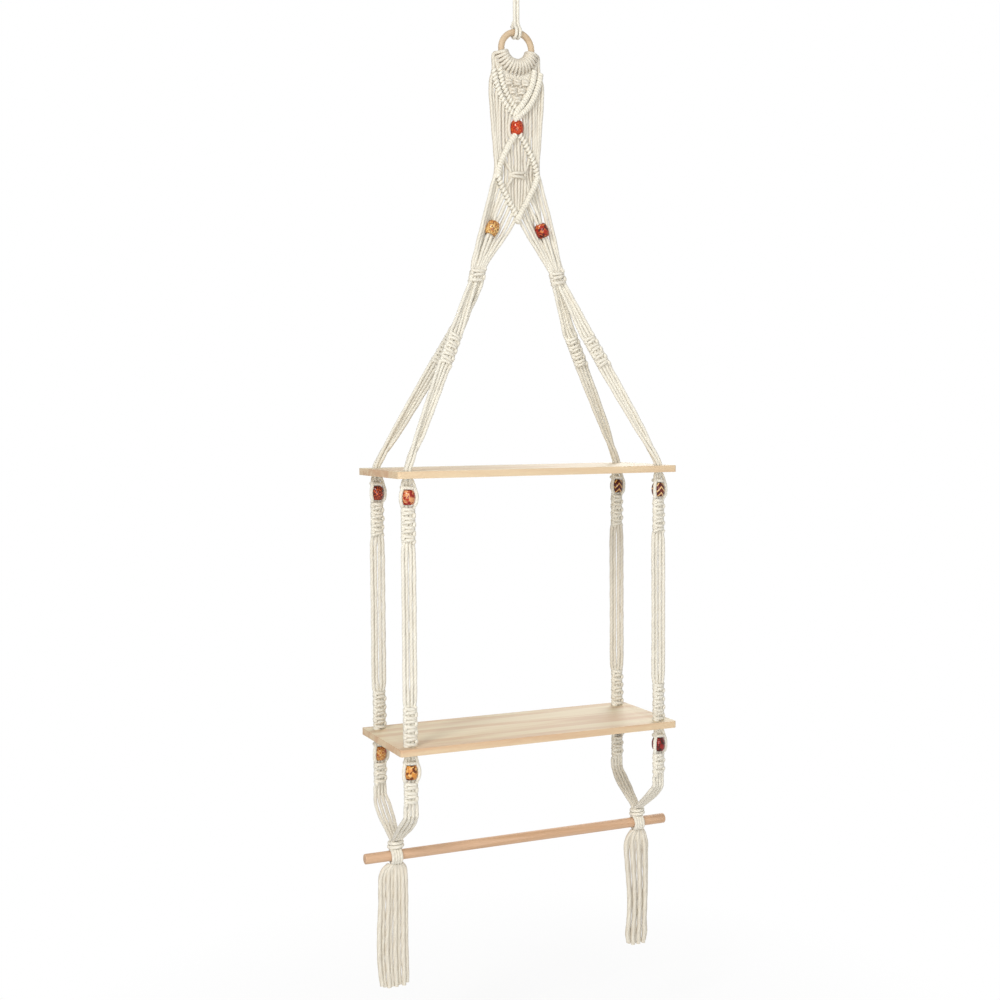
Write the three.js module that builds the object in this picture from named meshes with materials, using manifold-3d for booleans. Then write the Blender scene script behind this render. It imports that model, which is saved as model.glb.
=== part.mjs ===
// Hanging rope shelf: two wooden boards held by sixteen cotton strands that start on a wooden ring,
// are knotted into a panel, pass through the boards with a bead under each hole, and end over a dowel.
// Millimetres, +Z up, +X along the boards, -Y to the front. The origin is the crown of the hanging eye.
import * as THREE from "three";
import { mergeVertices } from "three/addons/utils/BufferGeometryUtils.js";
import Module from "manifold-3d";

const wasm = await Module();
wasm.setup();

// Cotton cord
const cordDiameter = 4.5;
const strandPitch = 4.7; // centre to centre where strands lie side by side
const clearance = 0.4; // between a cord and the piece that it goes round or turns against
const ringClearance = 0.8; // between the loops and the ring that tilts in them
const bury = 3; // how far a strand runs into the knot that holds it
const weldTolerance = 0.001;

// Square-knot sinnets
const halfKnotHeight = 5.7;
const sinnetDepth = 10;
const knotGrooveDepth = 1.3;
const legHalfKnotCount = 8;
const upperHalfKnotCount = 8;
const lowerHalfKnotCount = 9;
const slingHalfKnotCount = 7;

// Hanging cord: an eye tied above two strands that are hitched round the ring
const hangerToRing = 95; // crown of the eye to the ring's centre
const eyeHalfWidth = 8.7;
const eyeKnotDrop = 24;
const eyeKnotHeight = 10;
const eyeKnotWidth = 14;
const eyeKnotDepth = 10.5;
const hitchBandHeight = 5;
const hitchBandWidth = 12;
const hitchBandDepth = 9;

// Wooden ring
const ringOuterDiameter = 52;
const ringSection = 8.5;
const loopAngle = THREE.MathUtils.degToRad(10); // between neighbouring loops on the ring
const loopGrooveDepth = 1;

// Knotted panel, measured down from the ring's centre and out from the middle
const ridgeRadius = 4.7;
const ridgeGrooveDepth = 0.9;
const ridgeCoilPitch = 7;
const knotForward = 1.5; // the knot in the diamond stands this far in front of the strands
const innerVTopX = 26;
const innerVTopDrop = 30;
const innerVFootDrop = 79;
const outerVTopX = 33;
const outerVTopDrop = 38;
const outerVFootDrop = 89;
const vFootX = 2;
const centreBeadDrop = 102.5;
const diamondTopX = 3.4;
const diamondTopDrop = 115.5;
const diamondCornerX = 28;
const diamondCornerDrop = 166;
const diamondFootX = 1.5;
const diamondFootDrop = 221;
const crossKnotDrop = 164;
const crossKnotWidth = 24;
const crossKnotHeight = 11;
const fanLead = 3; // straight start of the fan's strands
const fanBeadShare = 0.43; // place of the fan's bead between the diamond and the leg knot

// Leg knots that close the fans
const legKnotX = 59;
const legKnotDrop = 288; // ring's centre to the top of the knot
const legKnotWidth = 24;
const legKnotDepth = 13;
const legKnotHeight = 19;
const legPivotOffset = 6.5; // the pivots of a front and a back leg, to each side of the knot's middle

// Boards
const boardLength = 400;
const boardDepth = 150;
const boardThickness = 9;
const boardCornerRadius = 3;
const holeDiameter = 12.4;
const holeFromEnd = 19;
const holeFromEdge = 16.5;
const ringToTopBoard = 550; // ring's centre to the top face
const tierSpacing = 349; // top face to top face

// Legs above the top board
const legSinnetStart = 72; // along the leg from its pivot
const legEntryHeight = 7; // where the leg turns upright above its hole
const legGathered = 18; // stretch over which the strands stay together at an end
const legSpread = 38; // from the pivot to where they lie side by side

// Beads and the cords round them
const beadDiameter = 18;
const boreClearance = 0.5;
const beadDropBelowBoard = 24; // underside of the board to the bead's centre
const beadToSinnet = 4;
const workerAtKnot = 6; // where the cord round a bead enters the knot, from the middle
const neckHeight = 0.5; // gathered strands under a board's hole
const workerAtNeck = 2.6; // where the cord round a bead leaves the gathered strands
const cageStepAngle = THREE.MathUtils.degToRad(38);
const cageSteps = 1; // to each side of the bead's middle

// Posts between the boards, slings under the lower board
const postSpread = 24;
const seatGap = 0.5; // sinnet over the lower board
const slingBulge = 4;

// Dowel and tassels
const rodDiameter = 13.5;
const rodLength = 448;
const rodEase = 1.2;
const rodDrop = 156; // lower board's top face to the dowel's axis
const rodTurns = 4;
const rodGrooveDepth = 0.6;
const tasselDrop = 175; // dowel's axis to the cut ends
const tasselHalfWidths = { left: 21, right: 16 };
const tasselHalfDepth = 9;

// Strands of a four-strand bundle from left to right: a worker, two fillers and a worker
const bundleShares = [-1.5, -0.5, 0.5, 1.5];
const gatheredPitchShare = 0.42; // between strands of a gathered bundle, in cord diameters
const gatheredDepthShare = 1.9; // how much deeper than wide each of them is drawn
const fanKnotShare = 0.51; // between the strands that enter a leg knot, in cord diameters

// Rounded end of a bundle at a pivot: place beyond the pivot in pivot radii, share of full size
const roundEndShares = [
  [0.97, 0.25],
  [0.6, 0.75],
];

// One pillow of a sinnet: place along the knot, and how much of the groove is left there
const pillowShares = [
  [0.26, 0],
  [0.76, 0],
  [1, 1],
];
const ridgeTurns = [0, Math.PI / 3, (2 * Math.PI) / 3, Math.PI];
const valleyShare = 0.3; // least half depth between two strands, in cord radii

// Facets
const cordSides = 6;
const cageSides = 5;
const loopSegments = 8;
const ballSides = 8;
const ballRings = 5;
const knotSides = 6;
const ringFacets = 24;
const beadSides = 10;
const beadSteps = 4;
const rodSides = 18;
const holeSides = 12;
const cornerSides = 2;

// Sizes that follow
const cordRadius = cordDiameter / 2;
const ringTubeRadius = ringSection / 2;
const ringRadius = ringOuterDiameter / 2 - ringTubeRadius;
const beadRadius = beadDiameter / 2;
const beadBoreRadius = cordDiameter + boreClearance;
const beadHalfHeight = Math.sqrt(beadRadius ** 2 - beadBoreRadius ** 2);
const sinnetWidth = 4 * cordDiameter;
const gatheredPitch = gatheredPitchShare * cordDiameter;
const fanKnotPitch = fanKnotShare * cordDiameter;
const pivotRadius = cordRadius * (1 + Math.SQRT2);
const apexRadius = pivotRadius * Math.SQRT2;
const tasselHeadRadius = apexRadius;
const cageRadius = (beadRadius + clearance + cordRadius) / Math.cos(cageStepAngle / 2);
const holeX = boardLength / 2 - holeFromEnd;
const holeY = boardDepth / 2 - holeFromEdge;
const rodRadius = rodDiameter / 2;
const rodKnotRadius = rodRadius + clearance + cordDiameter;

// Levels
const ringZ = -hangerToRing;
const ringTopZ = ringZ + ringRadius;
const legKnotTopZ = ringZ - legKnotDrop;
const legKnotBottomZ = legKnotTopZ - legKnotHeight;
const legPivotZ = legKnotBottomZ - clearance - pivotRadius;
const topBoardZ = ringZ - ringToTopBoard;
const lowerBoardZ = topBoardZ - tierSpacing;
const rodZ = lowerBoardZ - rodDrop;
const apexZ = rodZ + rodKnotRadius + clearance + apexRadius;
const tasselPivotZ = rodZ - rodKnotRadius - clearance - tasselHeadRadius;

const corners = [
  { name: "front_left", x: -1, y: -1 },
  { name: "back_left", x: -1, y: 1 },
  { name: "front_right", x: 1, y: -1 },
  { name: "back_right", x: 1, y: 1 },
];

const xAxis = new THREE.Vector3(1, 0, 0);
const yAxis = new THREE.Vector3(0, 1, 0);
const zAxis = new THREE.Vector3(0, 0, 1);
const down = new THREE.Vector3(0, 0, -1);

const at = (x, y, z) => new THREE.Vector3(x, y, z);

// A route through given points that is sampled at exactly those points.
class Route extends THREE.Curve {
  constructor(points) {
    super();
    this.points = points;
  }

  getPoint(t, target = new THREE.Vector3()) {
    const place = t * (this.points.length - 1);
    const i = Math.min(Math.floor(place), this.points.length - 2);
    return target.lerpVectors(this.points[i], this.points[i + 1], place - i);
  }

  getPointAt(u, target) {
    return this.getPoint(u, target);
  }

  getTangentAt(u, target = new THREE.Vector3()) {
    const last = this.points.length - 1;
    const i = Math.round(u * last);
    const before = this.points[Math.max(i - 1, 0)];
    const here = this.points[i];
    const after = this.points[Math.min(i + 1, last)];
    const arriving = here.clone().sub(before).normalize();
    const leaving = after.clone().sub(here).normalize();
    return target.copy(arriving).add(leaving).normalize();
  }
}

function solidOf(geometry) {
  const bare = geometry.clone();
  bare.deleteAttribute("normal");
  bare.deleteAttribute("uv");
  const merged = mergeVertices(bare, weldTolerance);
  return new wasm.Manifold(
    new wasm.Mesh({
      numProp: 3,
      vertProperties: merged.attributes.position.array,
      triVerts: new Uint32Array(merged.index.array),
    }),
  );
}

const joined = (solids) => solids.reduce((whole, next) => whole.add(next));

function placed(solid, origin, across, along, depth) {
  const basis = new THREE.Matrix4().makeBasis(across, along, depth).setPosition(origin);
  return solid.transform(basis.elements);
}

function polygon(radius, sides) {
  const shape = new THREE.Shape();
  for (let i = 0; i < sides; i++) {
    const angle = (2 * Math.PI * (i + 0.5)) / sides;
    const [x, y] = [radius * Math.cos(angle), radius * Math.sin(angle)];
    if (i) shape.lineTo(x, y);
    else shape.moveTo(x, y);
  }
  return shape;
}

function strand(points, sides = cordSides) {
  return solidOf(
    new THREE.ExtrudeGeometry(polygon(cordRadius, sides), {
      steps: points.length - 1,
      bevelEnabled: false,
      extrudePath: new Route(points),
    }),
  );
}

const ball = (centre, radius) =>
  solidOf(new THREE.SphereGeometry(radius, ballSides, ballRings).rotateX(Math.PI / 2)).translate(
    centre.toArray(),
  );

// A knotted bar along an axis: one pillow for each knot, with a groove before the next.
function knottedBar(start, axis, across, knots, pitch, width, depth, groove) {
  const half = width / 2;
  const end = knots * pitch;
  const profile = [new THREE.Vector2(0, 0), new THREE.Vector2(half - groove, 0)];
  for (let i = 0; i < knots; i++) {
    for (const [share, sink] of pillowShares) {
      const place = (i + share) * pitch;
      if (place < end) profile.push(new THREE.Vector2(half - sink * groove, place));
    }
  }
  profile.push(new THREE.Vector2(half - groove, end), new THREE.Vector2(0, end));
  const lathe = new THREE.LatheGeometry(profile, knotSides, Math.PI / knotSides);
  lathe.scale(1, 1, depth / (width * Math.cos(Math.PI / knotSides)));
  const side = across.clone().normalize();
  const direction = axis.clone().normalize();
  return placed(solidOf(lathe), start, side, direction, side.clone().cross(direction));
}

const sinnet = (start, axis, across, halfKnots) =>
  knottedBar(
    start,
    axis,
    across,
    halfKnots / 2,
    2 * halfKnotHeight,
    sinnetWidth,
    sinnetDepth,
    knotGrooveDepth,
  );

// Whether a ring of points turns counterclockwise for someone that the next ring lies towards.
function turnsForward(ring, next) {
  const area = at(0, 0, 0);
  ring.forEach((point, i) => area.add(point.clone().cross(ring[(i + 1) % ring.length])));
  return area.dot(next[0].clone().sub(ring[0])) > 0;
}

// A closed solid through rings of points that all have the same count.
function loft(given) {
  const outward = turnsForward(given[0], given[1]);
  const rings = outward ? given : given.map((ring) => ring.toReversed());
  const count = rings[0].length;
  const last = (rings.length - 1) * count;
  const triangles = [];
  for (let start = 0; start < last; start += count) {
    for (let i = 0; i < count; i++) {
      const [a, b] = [start + i, start + ((i + 1) % count)];
      triangles.push(a, b, b + count, a, b + count, a + count);
    }
  }
  let [near, far] = [0, count - 1];
  const cap = (a, b, c) => triangles.push(a, c, b, last + a, last + b, last + c);
  while (near + 1 < far) {
    cap(near, near + 1, far);
    near++;
    if (near + 1 < far) cap(near, far - 1, far);
    far--;
  }
  const geometry = new THREE.BufferGeometry().setFromPoints(rings.flat());
  geometry.setIndex(triangles);
  return solidOf(geometry);
}

// Strands that lie side by side. Each station lists their centres from left to right, their radius
// and how much deeper than wide they are. A strand shows as a crest, with a valley to its neighbour.
function strandRow(stations) {
  const rings = stations.map(({ centres, depth = yAxis, radius = cordRadius, deep = 1 }) => {
    const raised = (point, height) => point.clone().addScaledVector(depth, height);
    const outOf = (point, neighbour) =>
      point.clone().add(point.clone().sub(neighbour).setLength(radius));
    const front = [];
    const back = [];
    centres.forEach((centre, k) => {
      front.push(raised(centre, -deep * radius));
      back.unshift(raised(centre, deep * radius));
      const next = centres[k + 1];
      if (!next) return;
      const apart = centre.distanceTo(next) / 2;
      const round = Math.sqrt(Math.max(radius ** 2 - apart ** 2, 0));
      const valley = deep * Math.max(round, valleyShare * radius);
      front.push(raised(centre.clone().lerp(next, 0.5), -valley));
      back.unshift(raised(centre.clone().lerp(next, 0.5), valley));
    });
    const first = outOf(centres[0], centres[1]);
    const last = outOf(centres[centres.length - 1], centres[centres.length - 2]);
    return [first, ...front, last, ...back];
  });
  return loft(rings);
}

const spread = (centre, across, pitch) =>
  bundleShares.map((share) => centre.clone().addScaledVector(across, share * pitch));

// Stations of the four strands of a bundle, laid flat or drawn together.
const flat = (centre, across, depth) => ({ centres: spread(centre, across, strandPitch), depth });

const gathered = (centre, across, depth, size = 1) => ({
  centres: spread(centre, across, size * gatheredPitch),
  radius: size * cordRadius,
  deep: gatheredDepthShare,
  depth,
});

// The rounded end of a bundle that turns about its pivot, starting above or below it.
const roundEnd = (pivot, beyond) =>
  [...roundEndShares, [0, 1]].map(([place, size]) =>
    gathered(pivot.clone().addScaledVector(beyond, place * pivotRadius), xAxis, yAxis, size),
  );

// Points that carry a strand round one side of a bead, from above it to below it.
function roundBead(centre, axis, across, side) {
  const points = [];
  for (let i = cageSteps; i >= -cageSteps; i--) {
    const angle = i * cageStepAngle;
    points.push(
      centre
        .clone()
        .addScaledVector(across, side * cageRadius * Math.cos(angle))
        .addScaledVector(axis, -cageRadius * Math.sin(angle)),
    );
  }
  return points;
}

const boardHole = (corner, z) => at(corner.x * holeX, corner.y * holeY, z);

const beadUnder = (corner, boardZ) =>
  boardHole(corner, boardZ - boardThickness - beadDropBelowBoard);

const cageSinnetZ = (boardZ) =>
  boardZ - boardThickness - beadDropBelowBoard - beadHalfHeight - beadToSinnet;

// The fillers of a bundle, side by side through a bead's bore.
const fillers = (start, end, across, depth) =>
  strandRow(
    [start, end].map((centre) => ({
      centres: [-1, 1].map((side) => centre.clone().addScaledVector(across, side * cordRadius)),
      depth,
    })),
  );

// The cords under a board's hole: two workers round the bead, two fillers through it, and the knot.
function cagePieces(corner, boardZ, halfKnots) {
  const bead = beadUnder(corner, boardZ);
  const underside = boardHole(corner, boardZ - boardThickness);
  const sinnetTop = boardHole(corner, cageSinnetZ(boardZ));
  const inKnot = sinnetTop.clone().addScaledVector(down, bury);
  const workers = [-1, 1].map((side) =>
    strand(
      [
        underside
          .clone()
          .addScaledVector(xAxis, side * workerAtNeck)
          .addScaledVector(down, -bury),
        ...roundBead(bead, down, xAxis, side),
        inKnot.clone().addScaledVector(xAxis, side * workerAtKnot),
      ],
      cageSides,
    ),
  );
  return [
    ...workers,
    fillers(underside, inKnot, xAxis, yAxis),
    sinnet(sinnetTop, down, xAxis, halfKnots),
  ];
}

// The leg of one corner: from its pivot under the leg knot to the knot under the top board's bead.
function legSolid(corner) {
  const outward = -corner.y * corner.x;
  const pivot = at(corner.x * legKnotX + outward * legPivotOffset, 0, legPivotZ);
  const entry = boardHole(corner, topBoardZ + legEntryHeight);
  const axis = entry.clone().sub(pivot).normalize();
  const across = axis.clone().cross(yAxis).normalize();
  const depth = across.clone().cross(axis);
  const along = (from, distance) => from.clone().addScaledVector(axis, distance);
  const knotTop = along(pivot, legSinnetStart);
  const knotEnd = along(knotTop, legHalfKnotCount * halfKnotHeight);
  return joined([
    strandRow([
      ...roundEnd(pivot, zAxis),
      gathered(along(pivot, legGathered), across, depth),
      flat(along(pivot, legSpread), across, depth),
      flat(along(knotTop, bury), across, depth),
    ]),
    sinnet(knotTop, axis, across, legHalfKnotCount),
    strandRow([
      flat(along(knotEnd, -bury), across, depth),
      flat(along(entry, -legGathered), across, depth),
      gathered(entry, xAxis, yAxis),
      gathered(boardHole(corner, topBoardZ - boardThickness - neckHeight), xAxis, yAxis),
    ]),
    ...cagePieces(corner, topBoardZ, upperHalfKnotCount),
  ]);
}

const upperPivotZ =
  cageSinnetZ(topBoardZ) - upperHalfKnotCount * halfKnotHeight - clearance - pivotRadius;
const lowerSinnetTopZ = lowerBoardZ + seatGap + lowerHalfKnotCount * halfKnotHeight;
const lowerPivotZ = lowerSinnetTopZ + clearance + pivotRadius;
const slingPivotZ =
  cageSinnetZ(lowerBoardZ) - slingHalfKnotCount * halfKnotHeight - clearance - pivotRadius;

// The plain strands of one corner between the two tiers.
function postSolid(corner) {
  const top = boardHole(corner, upperPivotZ);
  const bottom = boardHole(corner, lowerPivotZ);
  return strandRow([
    ...roundEnd(top, zAxis),
    flat(top.clone().addScaledVector(down, postSpread), xAxis, yAxis),
    flat(bottom.clone().addScaledVector(down, -postSpread), xAxis, yAxis),
    ...roundEnd(bottom, down).reverse(),
  ]);
}

// The knotted cords of one corner above, in and below the lower board.
function lowerCordSolid(corner) {
  return joined([
    sinnet(boardHole(corner, lowerSinnetTopZ), down, xAxis, lowerHalfKnotCount),
    strandRow([
      gathered(boardHole(corner, lowerBoardZ + bury), xAxis, yAxis),
      gathered(boardHole(corner, lowerBoardZ - boardThickness - neckHeight), xAxis, yAxis),
    ]),
    ...cagePieces(corner, lowerBoardZ, slingHalfKnotCount),
  ]);
}

// The front and back cords of one end, which meet above the dowel.
function slingSolid(side) {
  const apex = at(side * holeX, 0, apexZ);
  const pieces = [ball(apex, apexRadius)];
  for (const front of [-1, 1]) {
    const top = at(side * holeX, front * holeY, slingPivotZ);
    const axis = apex.clone().sub(top).normalize();
    const depth = xAxis.clone().cross(axis);
    const middle = top.clone().lerp(apex, 0.5).addScaledVector(depth, front * slingBulge);
    pieces.push(
      strandRow([
        ...roundEnd(top, zAxis),
        flat(middle, xAxis, depth),
        gathered(apex, xAxis, depth),
      ]),
    );
  }
  return joined(pieces);
}

// The strands hitched over the dowel: a sleeve with one swelling for each turn.
function rodKnotSolid(side) {
  const inner = rodRadius + clearance;
  const length = rodTurns * cordDiameter;
  const profile = [new THREE.Vector2(inner, 0)];
  for (let i = 0; i < rodTurns; i++) {
    profile.push(new THREE.Vector2(rodKnotRadius - rodGrooveDepth, i * cordDiameter));
    profile.push(new THREE.Vector2(rodKnotRadius, (i + 0.5) * cordDiameter));
  }
  profile.push(new THREE.Vector2(rodKnotRadius - rodGrooveDepth, length));
  profile.push(new THREE.Vector2(inner, length));
  profile.push(new THREE.Vector2(inner, 0));
  const lathe = new THREE.LatheGeometry(profile, holeSides);
  const start = at(side * holeX - length / 2, 0, rodZ);
  return placed(solidOf(lathe), start, yAxis, xAxis, down);
}

function rodGeometry() {
  const half = rodLength / 2;
  const profile = [
    new THREE.Vector2(0, -half),
    new THREE.Vector2(rodRadius - rodEase, -half),
    new THREE.Vector2(rodRadius, rodEase - half),
    new THREE.Vector2(rodRadius, half - rodEase),
    new THREE.Vector2(rodRadius - rodEase, half),
    new THREE.Vector2(0, half),
  ];
  return new THREE.LatheGeometry(profile, rodSides);
}

// Cut ends of the eight strands of a tassel, as shares of its half width, half depth and drop.
const tasselEndShares = [
  [-0.88, -0.15, 0.985],
  [-0.63, 0.7, 1],
  [-0.38, -0.75, 0.99],
  [-0.12, 0.25, 1],
  [0.12, -0.9, 0.995],
  [0.38, 0.6, 1],
  [0.63, -0.5, 0.99],
  [0.88, 0.1, 0.98],
];
const tasselStations = [
  { share: 0.12, width: 0.75 },
  { share: 0.6, width: 1.05 },
  { share: 1, width: 1 },
];

function tasselSolid(side, halfWidth) {
  const head = at(side * holeX, 0, tasselPivotZ);
  const pieces = [ball(head, tasselHeadRadius)];
  const drop = tasselPivotZ - (rodZ - tasselDrop);
  for (const [x, y, length] of tasselEndShares) {
    const points = [at(head.x + x * cordDiameter, y * cordRadius, head.z)];
    for (const { share, width } of tasselStations) {
      points.push(
        at(
          head.x + x * width * (halfWidth - cordRadius),
          y * width * tasselHalfDepth,
          head.z - share * length * drop,
        ),
      );
    }
    pieces.push(strand(points, cageSides));
  }
  return joined(pieces);
}

function boardSolid(z) {
  const [x, y, r] = [boardLength / 2, boardDepth / 2, boardCornerRadius];
  const outline = new THREE.Shape();
  outline.absarc(x - r, y - r, r, 0, Math.PI / 2);
  outline.absarc(r - x, y - r, r, Math.PI / 2, Math.PI);
  outline.absarc(r - x, r - y, r, Math.PI, 1.5 * Math.PI);
  outline.absarc(x - r, r - y, r, 1.5 * Math.PI, 2 * Math.PI);
  outline.closePath();
  const slab = solidOf(
    new THREE.ExtrudeGeometry(outline, {
      depth: boardThickness,
      bevelEnabled: false,
      curveSegments: cornerSides,
    }),
  );
  const drill = new THREE.ExtrudeGeometry(polygon(holeDiameter / 2, holeSides), {
    depth: boardThickness + 2 * clearance,
    bevelEnabled: false,
  });
  const holes = corners.map((corner) =>
    solidOf(drill).translate([corner.x * holeX, corner.y * holeY, -clearance]),
  );
  return slab.subtract(joined(holes)).translate([0, 0, z - boardThickness]);
}

// A turned bead with its bore: an arc from rim to rim, closed by the bore.
function beadGeometry() {
  const half = Math.acos(beadBoreRadius / beadRadius);
  const profile = [];
  for (let i = 0; i <= beadSteps; i++) {
    const angle = half * ((2 * i) / beadSteps - 1);
    profile.push(new THREE.Vector2(beadRadius * Math.cos(angle), beadRadius * Math.sin(angle)));
  }
  profile.push(profile[0].clone());
  return new THREE.LatheGeometry(profile, beadSides);
}

const outwardAt = (angle) => at(Math.sin(angle), 0, -Math.cos(angle));

const ringTorus = (tube) => new THREE.TorusGeometry(ringRadius, tube, loopSegments, ringFacets);

// Neighbouring loops of cord round the ring, from one angle to another, over a bore that clears it.
function ringLoops(fromAngle, count) {
  const rings = [];
  const outer = ringTubeRadius + clearance + cordDiameter;
  for (let i = 0; i <= 2 * count; i++) {
    const angle = fromAngle + (i * loopAngle) / 2;
    const radius = outer - (i % 2 ? 0 : loopGrooveDepth);
    const outward = outwardAt(angle);
    const centre = at(0, 0, ringZ).addScaledVector(outward, ringRadius);
    const ring = [];
    for (let k = 0; k < loopSegments; k++) {
      const turn = (2 * Math.PI * (k + 0.5)) / loopSegments;
      ring.push(
        centre
          .clone()
          .addScaledVector(outward, radius * Math.cos(turn))
          .addScaledVector(yAxis, radius * Math.sin(turn)),
      );
    }
    rings.push(ring);
  }
  const bore = solidOf(ringTorus(ringTubeRadius + ringClearance)).rotate([90, 0, 0]);
  return loft(rings).subtract(bore.translate([0, 0, ringZ]));
}

// The doubled cord, from the eye's crown down one side: distance from the middle as a share of the
// eye's half width, and drop as a share of the way to the ring's centre.
const hangingShares = [
  [0, 0],
  [0.62, 0.02],
  [0.99, 0.068],
  [1, 0.126],
  [0.71, 0.19],
  [0.3, 0.253],
  [0.264, 0.316],
  [0.264, 0.526],
  [0.264, 0.705],
];

const hangingSide = (side) =>
  hangingShares.map(([x, drop]) => at(side * x * eyeHalfWidth, 0, -drop * hangerToRing));

const hangingRoute = [...hangingSide(-1).reverse(), ...hangingSide(1).slice(1)];

function hangingCordSolid() {
  const knotTurns = 2;
  const bandTop = at(0, 0, ringTopZ + ringTubeRadius + clearance + cordRadius + hitchBandHeight);
  return joined([
    strand(hangingRoute),
    knottedBar(
      at(0, 0, -eyeKnotDrop),
      down,
      xAxis,
      knotTurns,
      eyeKnotHeight / knotTurns,
      eyeKnotWidth,
      eyeKnotDepth,
      knotGrooveDepth,
    ),
    knottedBar(bandTop, down, xAxis, 1, hitchBandHeight, hitchBandWidth, hitchBandDepth, cordRadius / 2),
    ringLoops(Math.PI - loopAngle, 2),
  ]);
}

// A ridge of hitches on the face of the panel. Its ends are given by distance from the middle and drop.
function ridge(side, [topX, topDrop], [footX, footDrop]) {
  const start = at(side * topX, 0, ringZ - topDrop);
  const axis = at(side * footX, 0, ringZ - footDrop).sub(start);
  const across = axis.clone().cross(yAxis).normalize();
  const coils = Math.round(axis.length() / ridgeCoilPitch);
  const rings = [];
  for (let i = 0; i <= 2 * coils; i++) {
    const centre = start.clone().addScaledVector(axis, i / (2 * coils));
    const radius = ridgeRadius - (i % 2 ? 0 : ridgeGrooveDepth);
    rings.push(
      ridgeTurns.map((turn) =>
        centre
          .clone()
          .addScaledVector(across, radius * Math.cos(turn))
          .addScaledVector(yAxis, -radius * Math.sin(turn)),
      ),
    );
  }
  return loft(rings);
}

const strandsPerSide = 8;
const besideBead = beadRadius + clearance + cordRadius;

// Where strand i of one side passes the centre bead; strand 0 goes through its bore.
const panelX = (i) => (i ? besideBead + (i - 1) * strandPitch : cordRadius);

// Where strand i of one side passes the diamond's lower ridge, some way beyond its middle line.
function atLowerRidge(side, i, beyond) {
  const foot = at(side * diamondFootX, 0, ringZ - diamondFootDrop);
  const corner = at(side * diamondCornerX, 0, ringZ - diamondCornerDrop);
  const outward = yAxis.clone().cross(foot.clone().sub(corner)).setLength(-side * beyond);
  return foot.lerp(corner, i / (strandsPerSide - 1)).add(outward);
}

function panelSolid() {
  const outerSlope = (outerVFootDrop - outerVTopDrop) / (outerVTopX - vFootX);
  const reach = ringRadius + ringTubeRadius + clearance + cordRadius;
  const pieces = [ringLoops(-strandsPerSide * loopAngle, 2 * strandsPerSide)];
  const beadRow = [];
  for (const side of [-1, 1]) {
    const rows = [[], [], [], []];
    for (let i = 0; i < strandsPerSide; i++) {
      const outward = outwardAt(side * (i + 0.5) * loopAngle);
      const crossing = outerVFootDrop - (panelX(i) - vFootX) * outerSlope;
      rows[0].push(at(0, 0, ringZ).addScaledVector(outward, reach));
      rows[1].push(at(side * panelX(i), 0, ringZ - Math.max(crossing, outerVTopDrop)));
      rows[2].push(at(side * panelX(i), 0, ringZ - centreBeadDrop - beadHalfHeight));
      rows[3].push(atLowerRidge(side, i, ridgeRadius - (i ? 0 : cordRadius)));
    }
    rows.forEach((row, i) => {
      beadRow[i] = [...(beadRow[i] ?? []), row.shift()];
      if (side < 0) row.reverse();
    });
    pieces.push(strandRow(rows.map((centres) => ({ centres }))));
    pieces.push(
      ridge(side, [innerVTopX, innerVTopDrop], [vFootX, innerVFootDrop]),
      ridge(side, [outerVTopX, outerVTopDrop], [vFootX, outerVFootDrop]),
      ridge(side, [diamondTopX, diamondTopDrop], [diamondCornerX, diamondCornerDrop]),
      ridge(side, [diamondCornerX, diamondCornerDrop], [diamondFootX, diamondFootDrop]),
    );
  }
  pieces.push(
    strandRow(beadRow.map((centres) => ({ centres }))),
    knottedBar(
      at(0, -knotForward, ringZ - crossKnotDrop),
      down,
      xAxis,
      2,
      crossKnotHeight / 2,
      crossKnotWidth,
      sinnetDepth,
      knotGrooveDepth,
    ),
  );
  return joined(pieces);
}

const fanTop = (side) => atLowerRidge(side, (strandsPerSide - 1) / 2, ridgeRadius);
const fanKnot = (side) => at(side * legKnotX, 0, legKnotTopZ);
const fanBead = (side) => fanTop(side).lerp(fanKnot(side), fanBeadShare);
const fanAxis = (side) => fanKnot(side).sub(fanTop(side)).normalize();

// One fan: eight strands from the diamond, round and through the bead, into the leg knot.
function fanSolid(side) {
  const bead = fanBead(side);
  const axis = fanAxis(side);
  const across = yAxis.clone().cross(axis).multiplyScalar(-side);
  const outerFiller = strandsPerSide / 2;
  const legKnotTurns = 2;
  const inKnot = fanKnot(side).addScaledVector(down, bury);
  const pieces = [
    knottedBar(
      fanKnot(side),
      down,
      xAxis,
      legKnotTurns,
      legKnotHeight / legKnotTurns,
      legKnotWidth,
      legKnotDepth,
      knotGrooveDepth,
    ),
  ];
  for (let i = 0; i < strandsPerSide; i++) {
    const place = i - outerFiller + 0.5;
    const sideOfBead = Math.sign(place);
    const stepsOut = Math.abs(place) - 0.5;
    const beside = besideBead + (stepsOut - 1) * strandPitch;
    const middle = {
      0: [-1, 1].map((end) =>
        bead
          .clone()
          .addScaledVector(across, sideOfBead * cordRadius)
          .addScaledVector(axis, end * (beadHalfHeight + beadToSinnet / 2)),
      ),
      1: roundBead(bead, axis, across, sideOfBead),
    }[stepsOut] ?? [bead.clone().addScaledVector(across, sideOfBead * beside)];
    const end = inKnot.clone().addScaledVector(xAxis, side * place * fanKnotPitch);
    end.addScaledVector(yAxis, (i % 2 ? 1 : -1) * cordRadius);
    const start = [clearance, fanLead].map((gap) => atLowerRidge(side, i, ridgeRadius + gap));
    pieces.push(strand([...start, ...middle, end], cageSides));
  }
  return joined(pieces);
}

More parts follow.
